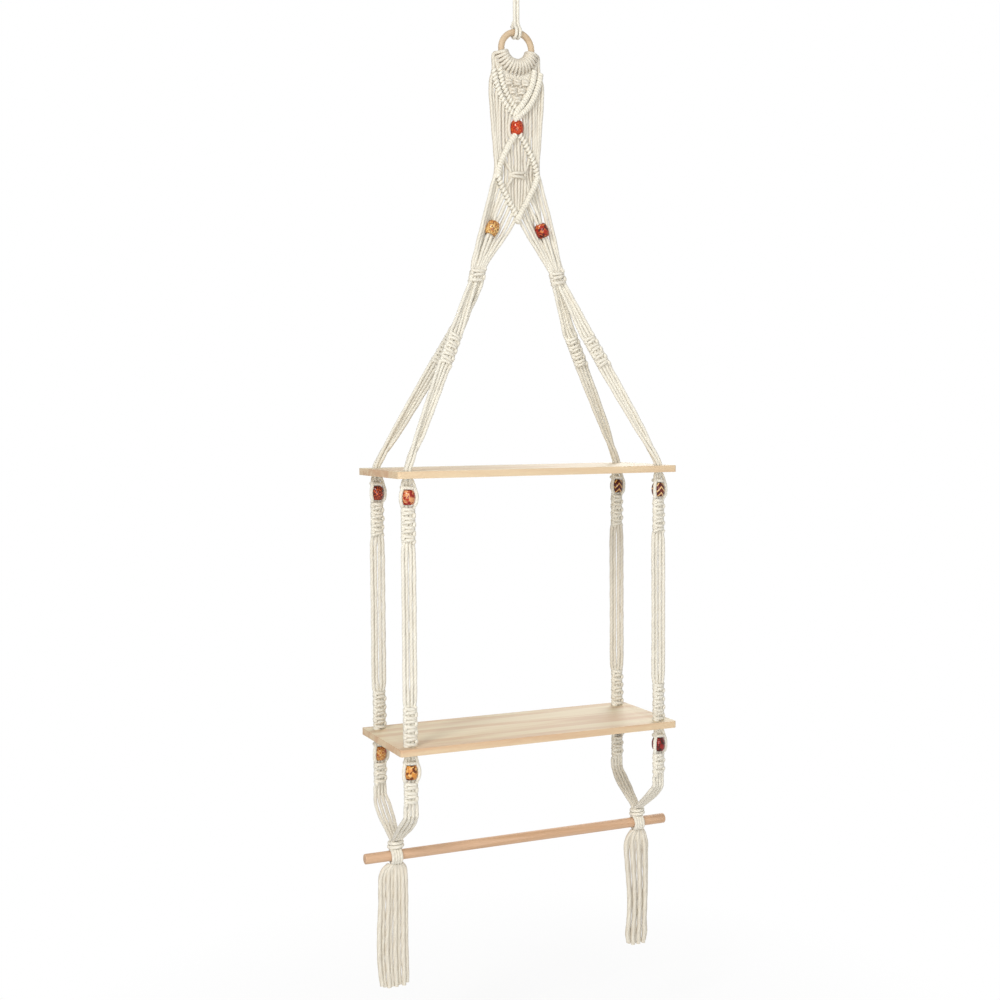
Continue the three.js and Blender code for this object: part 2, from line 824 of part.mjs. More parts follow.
// Materials
const cotton = new THREE.MeshStandardMaterial({ color: 0xeae2d3, roughness: 0.95, metalness: 0 });
const pine = new THREE.MeshStandardMaterial({ color: 0xe8d0af, roughness: 0.6, metalness: 0 });
const beech = new THREE.MeshStandardMaterial({ color: 0xcda082, roughness: 0.55, metalness: 0 });
const ringWood = new THREE.MeshStandardMaterial({ color: 0xd2ae84, roughness: 0.5, metalness: 0 });
const redBead = new THREE.MeshStandardMaterial({ color: 0xb4451f, roughness: 0.3, metalness: 0 });
const darkBead = new THREE.MeshStandardMaterial({ color: 0x5c231b, roughness: 0.3, metalness: 0 });
const goldBead = new THREE.MeshStandardMaterial({ color: 0xa8763a, roughness: 0.35, metalness: 0 });

const shelf = new THREE.Group();

function geometryOf(solid) {
  const mesh = solid.getMesh();
  const geometry = new THREE.BufferGeometry();
  geometry.setAttribute("position", new THREE.BufferAttribute(mesh.vertProperties, mesh.numProp));
  geometry.setIndex(new THREE.BufferAttribute(mesh.triVerts, 1));
  geometry.computeVertexNormals();
  return geometry;
}

function addPiece(name, geometry, material) {
  const mesh = new THREE.Mesh(geometry, material);
  mesh.name = name;
  shelf.add(mesh);
  return mesh;
}

const addSolid = (name, solid, material) => addPiece(name, geometryOf(solid), material);

function addBead(name, centre, axis, material) {
  const bead = addPiece(name, beadGeometry(), material);
  bead.position.copy(centre);
  bead.quaternion.setFromUnitVectors(yAxis, axis);
}

addSolid("hanging_cord", hangingCordSolid(), cotton);

const ring = addPiece("wooden_ring", ringTorus(ringTubeRadius), ringWood);
ring.position.set(0, 0, ringZ);
ring.rotation.x = Math.PI / 2;

addSolid("macrame_panel", panelSolid(), cotton);
addBead("bead_centre", at(0, 0, ringZ - centreBeadDrop), down, redBead);

for (const [name, side, material] of [
  ["left", -1, goldBead],
  ["right", 1, darkBead],
]) {
  addSolid("fan_" + name, fanSolid(side), cotton);
  addBead("bead_fan_" + name, fanBead(side), fanAxis(side), material);
}

addSolid("top_board", boardSolid(topBoardZ), pine);
addSolid("lower_board", boardSolid(lowerBoardZ), pine);

for (const corner of corners) {
  addSolid("leg_" + corner.name, legSolid(corner), cotton);
  addBead("bead_upper_" + corner.name, beadUnder(corner, topBoardZ), down, darkBead);
  addSolid("post_" + corner.name, postSolid(corner), cotton);
  addSolid("lower_cords_" + corner.name, lowerCordSolid(corner), cotton);
  const lowerBead = corner.x < 0 ? goldBead : darkBead;
  addBead("bead_lower_" + corner.name, beadUnder(corner, lowerBoardZ), down, lowerBead);
}

for (const [name, side] of [
  ["left", -1],
  ["right", 1],
]) {
  addSolid("sling_" + name, slingSolid(side), cotton);
  addSolid("rod_knot_" + name, rodKnotSolid(side), cotton);
  addSolid("tassel_" + name, tasselSolid(side, tasselHalfWidths[name]), cotton);
}

const rod = addPiece("dowel", rodGeometry(), beech);
rod.position.set(0, 0, rodZ);
rod.rotation.z = -Math.PI / 2;

export default shelf;
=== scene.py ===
import bpy
import bmesh
import math
import random
import numpy as np
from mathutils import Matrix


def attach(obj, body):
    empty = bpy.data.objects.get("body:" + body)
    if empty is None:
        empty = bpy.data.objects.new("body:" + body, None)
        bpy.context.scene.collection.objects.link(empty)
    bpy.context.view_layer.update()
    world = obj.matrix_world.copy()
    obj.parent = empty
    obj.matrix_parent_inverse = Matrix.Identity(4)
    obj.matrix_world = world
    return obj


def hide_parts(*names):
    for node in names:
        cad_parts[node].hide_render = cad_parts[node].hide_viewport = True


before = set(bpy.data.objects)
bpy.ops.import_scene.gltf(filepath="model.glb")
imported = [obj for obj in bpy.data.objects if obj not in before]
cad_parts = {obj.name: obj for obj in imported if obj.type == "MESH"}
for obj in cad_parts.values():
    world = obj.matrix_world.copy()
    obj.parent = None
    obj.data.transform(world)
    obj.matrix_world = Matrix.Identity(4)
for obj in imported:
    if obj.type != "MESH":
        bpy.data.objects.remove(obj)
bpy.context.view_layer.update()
print("frame loaded")

mm = 0.001
sides = {"left": -1, "right": 1}
corners = {
    "front_left": (-1, -1), "back_left": (-1, 1), "front_right": (1, -1), "back_right": (1, 1)}


def newObject(name, data):
    made = bpy.data.objects.new(name, data)
    bpy.context.collection.objects.link(made)
    return made


photoView = {
    "place": (-0.8214, -1.7601, -0.5736),
    "heading": -24.29,  # degrees about the vertical
    "tilt": 3.42,  # degrees below level
    "roll": 0.38,
    "lens": 52.2,
    "sensor": 36.0,
    "nearest": 0.05,
}


def placeCamera():
    look = photoView
    data = bpy.data.cameras.new("photoCamera")
    data.lens = look["lens"]
    data.sensor_width = look["sensor"]
    data.clip_start = look["nearest"]
    camera = newObject("photoCamera", data)
    camera.location = look["place"]
    camera.rotation_euler = (
        math.radians(90 - look["tilt"]), math.radians(look["roll"]),
        math.radians(look["heading"]))
    bpy.context.scene.camera = camera


placeCamera()
print("camera placed")


# A node with its settings. An input is a value, a socket, or a node that gives its first output.
def addNode(tree, kind, inputs=None, **settings):
    node = tree.nodes.new(kind)
    for name, value in settings.items():
        setattr(node, name, value)
    for key, value in (inputs or {}).items():
        socket = node.inputs[key]
        if isinstance(value, bpy.types.NodeSocket):
            tree.links.new(value, socket)
        elif isinstance(value, bpy.types.Node):
            tree.links.new(value.outputs[0], socket)
        else:
            socket.default_value = value
    return node


def sums(tree, operation, *inputs):
    return addNode(tree, "ShaderNodeMath", dict(enumerate(inputs)), operation=operation)


# Turns the values from low to high into those from start to end.
def ranged(tree, value, low, high, start=0.0, end=1.0):
    return addNode(tree, "ShaderNodeMapRange", {
        "Value": value, "From Min": low, "From Max": high, "To Min": start, "To Max": end})


def noise(tree, place, scale, detail, **others):
    inputs = {"Vector": place, "Scale": scale, "Detail": detail, **others}
    return addNode(tree, "ShaderNodeTexNoise", inputs)


def mixColours(tree, share, first, second, blend="MIX"):
    colours = {
        key: (*colour, 1) if isinstance(colour, tuple) else colour
        for key, colour in (("A", first), ("B", second))}
    mixed = addNode(
        tree, "ShaderNodeMix", {0: share, **colours}, data_type="RGBA", blend_type=blend)
    return mixed.outputs["Result"]


def readShaderValue(tree, name):
    return addNode(tree, "ShaderNodeAttribute", attribute_name=name)


# A material, with values for the shader's own sockets.
def newMaterial(name, values):
    material = bpy.data.materials.new(name)
    material.use_nodes = True
    tree = material.node_tree
    shader = tree.nodes["Principled BSDF"]
    for socket, value in values.items():
        shader.inputs[socket].default_value = value
    return material, tree, shader


def finishShader(tree, shader, colour, height=None, strength=0.0, distance=0.0):
    tree.links.new(colour, shader.inputs["Base Color"])
    if height is not None:
        bump = addNode(
            tree, "ShaderNodeBump",
            {"Height": height, "Strength": strength, "Distance": distance})
        tree.links.new(bump.outputs["Normal"], shader.inputs["Normal"])


def newGeometryTree(name, sizes):
    tree = bpy.data.node_groups.new(name, "GeometryNodeTree")
    for way in ("INPUT", "OUTPUT"):
        tree.interface.new_socket("Geometry", in_out=way, socket_type="NodeSocketGeometry")
    for label, value in sizes.items():
        kind = "NodeSocketInt" if isinstance(value, int) else "NodeSocketFloat"
        socket = tree.interface.new_socket(label, in_out="INPUT", socket_type=kind)
        socket.default_value = value
    tree.interface.new_socket("Material", in_out="INPUT", socket_type="NodeSocketMaterial")
    return tree, tree.nodes.new("NodeGroupInput"), tree.nodes.new("NodeGroupOutput")


def endTree(tree, geometry, given, result):
    smooth = addNode(tree, "GeometryNodeSetShadeSmooth", {"Geometry": geometry})
    plain = addNode(tree, "GeometryNodeRealizeInstances", {"Geometry": smooth})
    final = addNode(
        tree, "GeometryNodeSetMaterial",
        {"Geometry": plain, "Material": given.outputs["Material"]})
    tree.links.new(final.outputs[0], result.inputs["Geometry"])


def runTree(piece, tree, values):
    modifier = piece.modifiers.new(tree.name, "NODES")
    modifier.node_group = tree
    for item in tree.interface.items_tree:
        if item.item_type == "SOCKET" and item.in_out == "INPUT" and item.name in values:
            modifier[item.identifier] = values[item.name]
    piece.update_tag()
    bpy.context.view_layer.update()
    finished = piece.evaluated_get(bpy.context.evaluated_depsgraph_get())
    made = bpy.data.meshes.new_from_object(finished)
    piece.modifiers.remove(modifier)
    previous = piece.data
    piece.data = made
    made.name = piece.name
    bpy.data.meshes.remove(previous)


def storeValue(tree, geometry, name, value, kind="FLOAT"):
    return addNode(
        tree, "GeometryNodeStoreNamedAttribute",
        {"Geometry": geometry, "Name": name, "Value": value}, data_type=kind, domain="POINT")


def readValue(tree, name):
    node = addNode(
        tree, "GeometryNodeInputNamedAttribute", {"Name": name}, data_type="FLOAT")
    return node.outputs["Attribute"]


def storeAttribute(mesh, name, values, kind="FLOAT", domain="POINT"):
    field = "vector" if kind == "FLOAT_VECTOR" else "value"
    mesh.attributes.new(name, kind, domain).data.foreach_set(field, values)


# Cotton of the cords. Each strand carries its room for the fibres, the furrows between its plies,
# where shade is painted, and its tone, which holds painted shade on the flanks of its strands and,
# on some pieces, over the whole piece.
cottonFinish = {
    "pale": (0.86, 0.825, 0.72),
    "shade": (0.46, 0.37, 0.26),
    "shader": {
        "Roughness": 0.92, "Sheen Weight": 0.2, "Sheen Roughness": 0.6,
        "Specular IOR Level": 0.2},
    "fibreStretch": (7, 7, 1.1),
    "fibreScale": 2.2,
    "fibreRange": (0.35, 0.7),
    "blotchScale": 60.0,
    "blotchRange": (0.35, 0.75),
    "furrowRange": (0.1, 1.0),
    # painted shade in the furrows between the plies
    "furrowShade": 0.17,
    "blotchShade": 0.12,
    "fibreShade": 0.12,
    "bump": (0.3, 0.0005),  # strength and height in metres
}


def makeCotton():
    look = cottonFinish
    material, tree, shader = newMaterial("cotton", look["shader"])
    along = readShaderValue(tree, "cordSpace").outputs["Vector"]
    furrow = readShaderValue(tree, "furrow").outputs["Fac"]
    tone = readShaderValue(tree, "tone").outputs["Fac"]
    place = addNode(tree, "ShaderNodeTexCoord").outputs["Object"]
    fibreRoom = addNode(
        tree, "ShaderNodeMapping", {"Vector": along, "Scale": look["fibreStretch"]})
    fibres = noise(tree, fibreRoom, look["fibreScale"], 4.0, Roughness=0.6, Distortion=0.4)
    blotches = noise(tree, place, look["blotchScale"], 3.0)
    # painted shade in the furrows between the plies
    depth = ranged(tree, furrow, *look["furrowRange"], 0.0, look["furrowShade"])
    tint = ranged(tree, blotches, *look["blotchRange"], 0.0, look["blotchShade"])
    fray = ranged(tree, fibres, *look["fibreRange"], look["fibreShade"], 0.0)
    # the furrows' painted shade, with the cotton's own blotches and fibres
    furrowShadeAndMottle = sums(tree, "ADD", sums(tree, "ADD", depth, tint), fray)
    # the tone adds its painted shade
    share = sums(tree, "ADD", furrowShadeAndMottle, tone)
    colour = mixColours(tree, share, look["pale"], look["shade"])
    finishShader(tree, shader, colour, fibres, *look["bump"])
    return material


cotton = makeCotton()

rope = {
    "diameter": 4.9 * mm,
    "layLength": 17 * mm,
    "ringSpacing": 1.5 * mm,
    "groove": 0.045,
    "plies": 3,
    "routeStep": 1.1,  # mm between the points of a route
    "closest": 0.05,  # mm, points nearer than this are one
    "waver": 0.12,  # mm that a strand strays from its route
    "waves": ((17, 26), (30, 47)),  # mm, shortest and longest of the slow and the slower wave
    "fadeIn": 6,  # mm at a strand's start over which it begins to stray
    "seed": 7,
}


# Section of a strand: one lobe for each ply, sunk by the groove where two plies meet.
def lobedSection(tree, diameter, groove, pointsPerLobe):
    count = rope["plies"] * pointsPerLobe
    half = sums(tree, "MULTIPLY", diameter, 0.5)
    circle = addNode(
        tree, "GeometryNodeCurvePrimitiveCircle", {"Resolution": count, "Radius": half},
        mode="RADIUS")
    index = addNode(tree, "GeometryNodeInputIndex")
    step = sums(tree, "MODULO", index, float(pointsPerLobe))
    sink = sums(tree, "COMPARE", step, 0.0, 0.5)
    if pointsPerLobe == 4:
        # the points beside a lobe's crown are sunk by a quarter
        crown = sums(tree, "COMPARE", step, 2.0, 0.5)
        flank = sums(tree, "MULTIPLY_ADD", crown, -0.25, 0.25)
        sink = sums(tree, "MAXIMUM", sink, flank)
    # the furrow mark also darkens the cotton there, as painted shade
    profile = storeValue(tree, circle, "furrow", sink)
    angle = sums(tree, "MULTIPLY", index, 2 * math.pi / count)
    profile = storeValue(tree, profile, "around", angle)
    size = sums(tree, "SUBTRACT", 1.0, sums(tree, "MULTIPLY", sink, groove))
    scaled = addNode(
        tree, "ShaderNodeVectorMath",
        {"Vector": addNode(tree, "GeometryNodeInputPosition"), "Scale": size},
        operation="SCALE")
    return addNode(
        tree, "GeometryNodeSetPosition", {"Geometry": profile, "Position": scaled})


# Room for the fibres of a strand: round it, and along it in its own thicknesses.
def storeCordSpace(tree, mesh, diameter):
    seen = sums(tree, "ADD", readValue(tree, "around"), readValue(tree, "turn"))
    gone = sums(tree, "DIVIDE", readValue(tree, "along"), diameter)
    reach = sums(tree, "MULTIPLY_ADD", readValue(tree, "phase"), 9.0, gone)
    place = addNode(tree, "ShaderNodeCombineXYZ", {
        0: sums(tree, "COSINE", seen), 1: sums(tree, "SINE", seen), 2: reach})
    return storeValue(tree, mesh, "cordSpace", place, "FLOAT_VECTOR")


def laidCordTree():
    tree, given, result = newGeometryTree("laidCord", {
        "Diameter": rope["diameter"], "Lay Length": rope["layLength"],
        "Ring Spacing": rope["ringSpacing"], "Groove": rope["groove"]})
    line = addNode(tree, "GeometryNodeMeshToCurve", {"Mesh": given.outputs["Geometry"]})
    even = addNode(
        tree, "GeometryNodeResampleCurve",
        {"Curve": line, "Length": given.outputs["Ring Spacing"]}, mode="LENGTH")
    gone = addNode(tree, "GeometryNodeSplineParameter").outputs["Length"]
    turns = sums(tree, "DIVIDE", gone, given.outputs["Lay Length"])
    twist = sums(tree, "MULTIPLY_ADD", turns, 2 * math.pi, readValue(tree, "phase"))
    measured = storeValue(tree, even, "along", gone)
    turned = storeValue(tree, measured, "turn", twist)
    tilted = addNode(
        tree, "GeometryNodeSetCurveTilt", {"Curve": turned, "Tilt": readValue(tree, "turn")})
    girded = addNode(
        tree, "GeometryNodeSetCurveRadius",
        {"Curve": tilted, "Radius": readValue(tree, "girth")})
    section = lobedSection(tree, given.outputs["Diameter"], given.outputs["Groove"], 4)
    body = addNode(
        tree, "GeometryNodeCurveToMesh",
        {"Curve": girded, "Profile Curve": section, "Fill Caps": True})
    endTree(tree, storeCordSpace(tree, body, given.outputs["Diameter"]), given, result)
    return tree


laidCord = laidCordTree()
strayer = random.Random(rope["seed"])


# A point of a route in millimetres, with the cord's thickness there as a share of its usual one.
def spot(x, y, z, girth=1.0):
    return np.array([x, y, z, girth], float)


def gap(a, b):
    return np.linalg.norm(b[:3] - a[:3])


# Centripetal spline through the points of a route.
def smoothRoute(points):
    kept = [points[0]]
    for point in points[1:]:
        if gap(kept[-1], point) > rope["closest"]:
            kept.append(point)
    points = [2 * kept[0] - kept[1], *kept, 2 * kept[-1] - kept[-2]]
    made = []
    for a, b, c, d in zip(points, points[1:], points[2:], points[3:]):
        ta = 0.0
        tb = ta + max(gap(a, b), 1e-3) ** 0.5
        tc = tb + max(gap(b, c), 1e-3) ** 0.5
        td = tc + max(gap(c, d), 1e-3) ** 0.5
        count = max(2, math.ceil(gap(b, c) / rope["routeStep"]))
        for k in range(count):
            t = tb + (tc - tb) * k / count
            ab = (a * (tb - t) + b * (t - ta)) / (tb - ta)
            bc = (b * (tc - t) + c * (t - tb)) / (tc - tb)
            cd = (c * (td - t) + d * (t - tc)) / (td - tc)
            abc = (ab * (tc - t) + bc * (t - ta)) / (tc - ta)
            bcd = (bc * (td - t) + cd * (t - tb)) / (td - tb)
            made.append((abc * (tc - t) + bcd * (t - tb)) / (tc - tb))
    made.append(points[-2])
    return made


# Slow small waves that keep a strand from lying dead straight.
def strayed(points, amount):
    phases = [strayer.uniform(0, 2 * math.pi) for _ in range(4)]
    lengths = [strayer.uniform(*span) for span in rope["waves"]]
    gone = 0.0
    made = []
    for k, point in enumerate(points):
        if k:
            gone += gap(points[k - 1], point)
        moved = point.copy()
        for axis in (0, 1):
            wave = sum(
                math.sin(2 * math.pi * gone / lengths[j] + phases[2 * axis + j])
                for j in (0, 1))
            moved[axis] += amount * min(1.0, gone / rope["fadeIn"]) * wave
        made.append(moved)
    return made


def lineMesh(name, routes, waver):
    vertices, edges, girths, phases = [], [], [], []
    for points in routes:
        smooth = strayed(smoothRoute(points), waver)
        first = len(vertices)
        phase = strayer.uniform(0, 2 * math.pi)
        for point in smooth:
            vertices.append(tuple(point[:3] * mm))
            girths.append(point[3])
            phases.append(phase)
        edges += [(first + k, first + k + 1) for k in range(len(smooth) - 1)]
    mesh = bpy.data.meshes.new(name)
    mesh.from_pydata(vertices, edges, [])
    storeAttribute(mesh, "girth", girths)
    storeAttribute(mesh, "phase", phases)
    return newObject(name, mesh)


def dress(piece, body, slot, *nodes):
    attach(piece, body)
    if nodes:
        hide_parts(*nodes)


# tone: how much darker the whole piece is, as painted shade on some pieces; the crease amount:
# painted shade on the flanks of its strands, where they touch their neighbours
def makeCords(
        name, routes, body, *nodes, waver=rope["waver"], diameter=rope["diameter"],
        lay=rope["layLength"], tone=0.0, creaseShade=0.0):
    piece = lineMesh(name, routes, waver)
    runTree(piece, laidCord, {
        "Diameter": diameter, "Lay Length": lay, "Ring Spacing": rope["ringSpacing"],
        "Groove": rope["groove"], "Material": cotton})
    # painted shade: flanks whose normals point sideways get darker
    shadeTones = [tone + creaseShade * (1 - abs(v.normal[1])) for v in piece.data.vertices]
    storeAttribute(piece.data, "tone", shadeTones)
    dress(piece, body, "cotton", *nodes)
    return piece


# heights, in millimetres from the crown of the hanging eye
levels = {
    "ring": -95.0,
    "ringTop": -73.25,
    "legKnotTop": -383.0,
    "legKnotFoot": -402.0,
    "legPivot": -407.832,
    "topBoard": -645.0,
    "upperBead": -678.0,
    "upperPivot": -740.915,
    "lowerPivot": -936.368,
    "lowerSinnet": -942.2,
    "lowerBoard": -994.0,
    "lowerBead": -1027.0,
    "slingPivot": -1084.215,
    "apex": -1130.268,
    "rod": -1150.0,
    "tasselPivot": -1169.732,
    "tasselFoot": -1325.0,
}
places = {
    "boardThickness": 9.0,
    "holeX": 181.0,
    "holeY": 58.5,
    "legKnotX": 59.0,
    "legPivotOffset": 6.5,
    "ringRadius": 21.75,
    "ringTube": 4.25,
    "beadRadius": 9.0,
    "beadBore": 5.0,
    "rodRadius": 6.75,
}

hangingCord = {
    "eyeHalfWidth": 8.7,
    "diameter": 4.7 * mm,
    # from the crown down one side: share of the half width, share of the way to the ring
    "shares": [
        (0, 0), (0.62, 0.02), (0.99, 0.068), (1, 0.126), (0.71, 0.19), (0.3, 0.253),
        (0.264, 0.316), (0.264, 0.526), (0.264, 0.705),
    ],
    "knotDrop": 19.5,
    # turns of the knot: drop below the knot's top, half width, half depth, slope
    "turns": [(2.3, 6.4, 4.2, 0.9), (6.6, 5.3, 3.9, -0.9)],
    "turnOverlap": 0.6,  # radians that a turn runs on past its start
    "turnSteps": 14,
    "hitchSpacing": 2.6,
    "hitchDrop": 61.0,
    # ends of each loop over the ring: share of the spacing, back, height in the hitch, thickness
    "loopStart": [(0.88, 0, 0, 1), (0.95, -1.6, -3.2, 1)],
    "loopEnd": [(1, 4.3, -2.6, 1), (0.9, 3.2, 2.2, 0.8)],
    # bar of the hitch, behind the loops: across, back, height in the hitch, thickness
    "bar": [(-3.4, 2.6, -3.4, 0.8), (-3.4, 5.6, -3.8, 0.9), (0, 7.6, -4.0, 1),
            (3.4, 5.6, -3.8, 0.9), (3.4, 2.6, -3.4, 0.8)],
    "overTube": 2.85,  # from the ring's surface to the middle of the cord
    "crownGap": 0.55,  # radians of the ring's section that a loop leaves free on either side
    "crownGirth": 0.96,
    "crownSteps": 13,
}


# One turn of cord round the middle, which runs on past its own start.
def turnOfCord(x, z, halfWidth, halfDepth, slope, overlap, count):
    return [
        spot(x + halfWidth * math.cos(a), -halfDepth * math.sin(a), z + slope * math.cos(a))
        for a in np.linspace(0, 2 * math.pi + overlap, count)]


def hangingRoute():
    wide, drop = hangingCord["eyeHalfWidth"], levels["ring"]
    right = [spot(x * wide, 0, z * drop) for x, z in hangingCord["shares"]]
    left = [spot(-p[0], 0, p[2]) for p in right]
    return left[:0:-1] + right


# A loop over the ring's crown, from its front round to its back.
def crownLoop(x, foot):
    look = hangingCord
    reach = places["ringTube"] + look["overTube"]
    start, end = (
        [spot(x * aside, back, foot + height, girth) for aside, back, height, girth in look[key]]
        for key in ("loopStart", "loopEnd"))
    crown = [
        spot(x, -reach * math.sin(a), levels["ringTop"] + reach * math.cos(a),
             look["crownGirth"])
        for a in np.linspace(
            look["crownGap"], 2 * math.pi - look["crownGap"], look["crownSteps"])]
    return start + crown + end


def hangingPieces():
    look = hangingCord
    route = hangingRoute()
    main = makeCords(
        "hangingCord", [route], "hanging", "hanging_cord", waver=0.0,
        diameter=look["diameter"])
    knots = [
        turnOfCord(
            0, -look["knotDrop"] - drop, wide, deep, slope, look["turnOverlap"],
            look["turnSteps"])
        for drop, wide, deep, slope in look["turns"]]
    foot = -look["hitchDrop"]
    knots += [crownLoop(x, foot) for x in (-look["hitchSpacing"], look["hitchSpacing"])]
    knots.append([spot(x, y, foot + z, girth) for x, y, z, girth in look["bar"]])
    knotPiece = makeCords(
        "hangingKnots", knots, "hanging", waver=0.0, diameter=look["diameter"])


tassel = {
    "diameter": 5.9 * mm,
    "lay": 70 * mm,
    # darker, yellower cotton for the tassels, with painted shade between their loose strands
    "tone": 0.17,
    # painted shade on the flanks of the tassels' strands
    "creaseShade": 0.2,
    "waver": 0.1,
    "headAbovePivot": 8.0,
    "depth": {"left": 1.3, "right": 2.2},
    "headDepth": 0.2,  # share of that depth at the head
    # share of the drop, left edge and right edge from the middle of the knot above
    "left": [
        (0.0, -13.0, 10.5), (0.035, -20.5, 14.5), (0.09, -24.0, 16.5), (0.3, -25.5, 17.0),
        (0.5, -27.0, 17.0), (0.72, -28.0, 17.0), (0.9, -26.5, 17.5), (1.0, -24.5, 17.0),
    ],
    "right": [
        (0.0, -11.0, 11.0), (0.05, -18.0, 15.5), (0.12, -22.0, 18.0), (0.2, -22.0, 18.5),
        (0.42, -19.0, 18.5), (0.62, -17.0, 18.0), (0.8, -18.5, 17.0), (0.92, -20.5, 17.0),
        (1.0, -18.5, 15.5),
    ],
    "lengths": [0.975, 0.993, 1.0, 0.997, 1.0, 0.994, 1.0, 0.985],
    "stray": (0.35, 0.4),  # mm to either side and to the front or back
    "seed": 11,
}


def tasselPieces(side, name):
    look = tassel
    x0 = side * places["holeX"]
    head = levels["tasselPivot"] + look["headAbovePivot"]
    drop = head - levels["tasselFoot"]
    half = look["diameter"] / mm / 2
    wanderer = random.Random(look["seed"] + side)
    aside, back = look["stray"]
    count = len(look["lengths"])
    for k, length in enumerate(look["lengths"]):
        deep = look["depth"][name] * (1 if k % 2 else -1)
        points = []
        for share, left, right in look[name]:
            across = left + half + (right - left - 2 * half) * k / (count - 1)
            if 0 < share < 1:
                across += wanderer.uniform(-aside, aside)
            y = deep * min(1, look["headDepth"] + 4 * share) + wanderer.uniform(-back, back)
            points.append(spot(x0 + across, y, head - share * length * drop))
        nodes = ["tassel_" + name] if k == 0 else []
        piece = makeCords(
            f"tassel_{name}_strand_{k + 1}", [points], "tassel_" + name, *nodes,
            diameter=look["diameter"], lay=look["lay"], waver=look["waver"],
            tone=look["tone"], creaseShade=look["creaseShade"])
    print("tassel", name)


hangingPieces()
for name, side in sides.items():
    tasselPieces(side, name)


def unit(v):
    return v / np.linalg.norm(v)


xAxis = np.array([1.0, 0.0, 0.0])
yAxis = np.array([0.0, 1.0, 0.0])
zAxis = np.array([0.0, 0.0, 1.0])
down = (-zAxis, xAxis, yAxis)


# Axes of a bundle that runs along a line and is turned about it: along, across and backwards.
def bundleAxes(start, end, turn=0.0):
    axis = unit(np.array(end[:3], float) - np.array(start[:3], float))
    across = unit(np.cross(axis, yAxis))
    depth = np.cross(across, axis)
    a = math.radians(turn)
    turned = across * math.cos(a) + depth * math.sin(a)
    return axis, turned, np.cross(turned, axis)


# Axes of a bundle that hangs down and is turned about the vertical.
def hanging(turn):
    return bundleAxes((0, 0, 0), (0, 0, -1), turn)


def onBundle(origin, axes, x, y, along, girth=1.0):
    axis, across, depth = axes
    return spot(*(np.array(origin[:3]) + across * x + depth * y + axis * along), girth)


knotForm = {
    "cord": 4.75,  # unit of the tables across and back, in mm
    "paired": 0.11,  # how much closer the two halves of a square knot lie, in half knots
    # worker that crosses in front: across, back, half knots along, thickness
    "frontCord": [
        (-1.36, -0.3, 0.3, 1.1), (-0.85, -0.76, 0.45, 1.22), (0.0, -0.9, 0.5, 1.28),
        (0.85, -0.76, 0.55, 1.22), (1.36, -0.35, 0.7, 1.12), (1.5, 0.05, 1.0, 1.16),
    ],
    # worker that crosses behind, from the bar on one side to the bar on the other
    "backCord": [
        (1.5, -0.5, 0.16, 1.16), (1.46, 0.15, 0.36, 1.08), (0.8, 0.74, 0.5, 1.2),
        (0.0, 0.86, 0.5, 1.26), (-0.8, 0.74, 0.5, 1.2), (-1.46, 0.15, 0.64, 1.08),
        (-1.53, -0.45, 0.84, 1.18), (-1.42, -0.8, 1.0, 1.16),
    ],
}


# The two workers of a row of half knots. Both lists leave out the points before the first knot.
def workerRoutes(
        origin, axes, halfKnots, pitch, unitX=knotForm["cord"], unitY=knotForm["cord"],
        first=-1, girth=1.0):
    routes = [[], []]
    for k in range(halfKnots):
        turn = 1 if k % 2 == 0 else -1
        side = first * turn
        for route, table in zip(routes, (knotForm["frontCord"], knotForm["backCord"])):
            for x, y, along, thick in table:
                route.append(onBundle(
                    origin, axes, -side * x * unitX, y * unitY,
                    (k + knotForm["paired"] * turn + along) * pitch, girth * thick))
    return routes


bundle = {
    # places of the four strands across a bundle: side by side, in pairs, and two by two
    "flat": [-7.35, -2.45, 2.45, 7.35],
    "pairs": [-7.6, -2.8, 2.8, 7.6],
    "square": [(-2.25, -2.1), (-2.25, 2.25), (2.25, -2.25), (2.25, 2.1)],
    "fillerForward": 1.1,
    "fillerGirth": 1.12,
    "halfKnot": 5.7,
}


def squareBundle(origin, axes, along, size):
    return [onBundle(origin, axes, x * size, y * size, along) for x, y in bundle["square"]]


def flatBundle(origin, axes, along, row="flat", size=1.0, stagger=0.0):
    return [
        onBundle(origin, axes, x * size, stagger * (1 if k in (1, 2) else -1), along)
        for k, x in enumerate(bundle[row])]


# Adds stations, each with a point for every strand, to the strands of a bundle.
def addStations(strands, *stations):
    for station in stations:
        for strand, point in zip(strands, station):
            strand.append(point)


# A row of square knots: the outer strands work round the inner two, and end in their new order.
def addSinnet(strands, origin, axes, halfKnots):
    pitch = bundle["halfKnot"]
    front, back = workerRoutes(origin, axes, halfKnots, pitch)
    strands[0].extend(front)
    strands[3].extend(back)
    forward, thick = -bundle["fillerForward"], bundle["fillerGirth"]
    for k in (1, 2):
        x = bundle["flat"][k]
        strands[k] += [
            onBundle(origin, axes, x, 0, 0),
            onBundle(origin, axes, x, forward, pitch, thick),
            onBundle(origin, axes, x, forward, (halfKnots - 1) * pitch, thick),
            onBundle(origin, axes, x, 0, halfKnots * pitch)]
    if halfKnots % 2:
        strands[0], strands[3] = strands[3], strands[0]


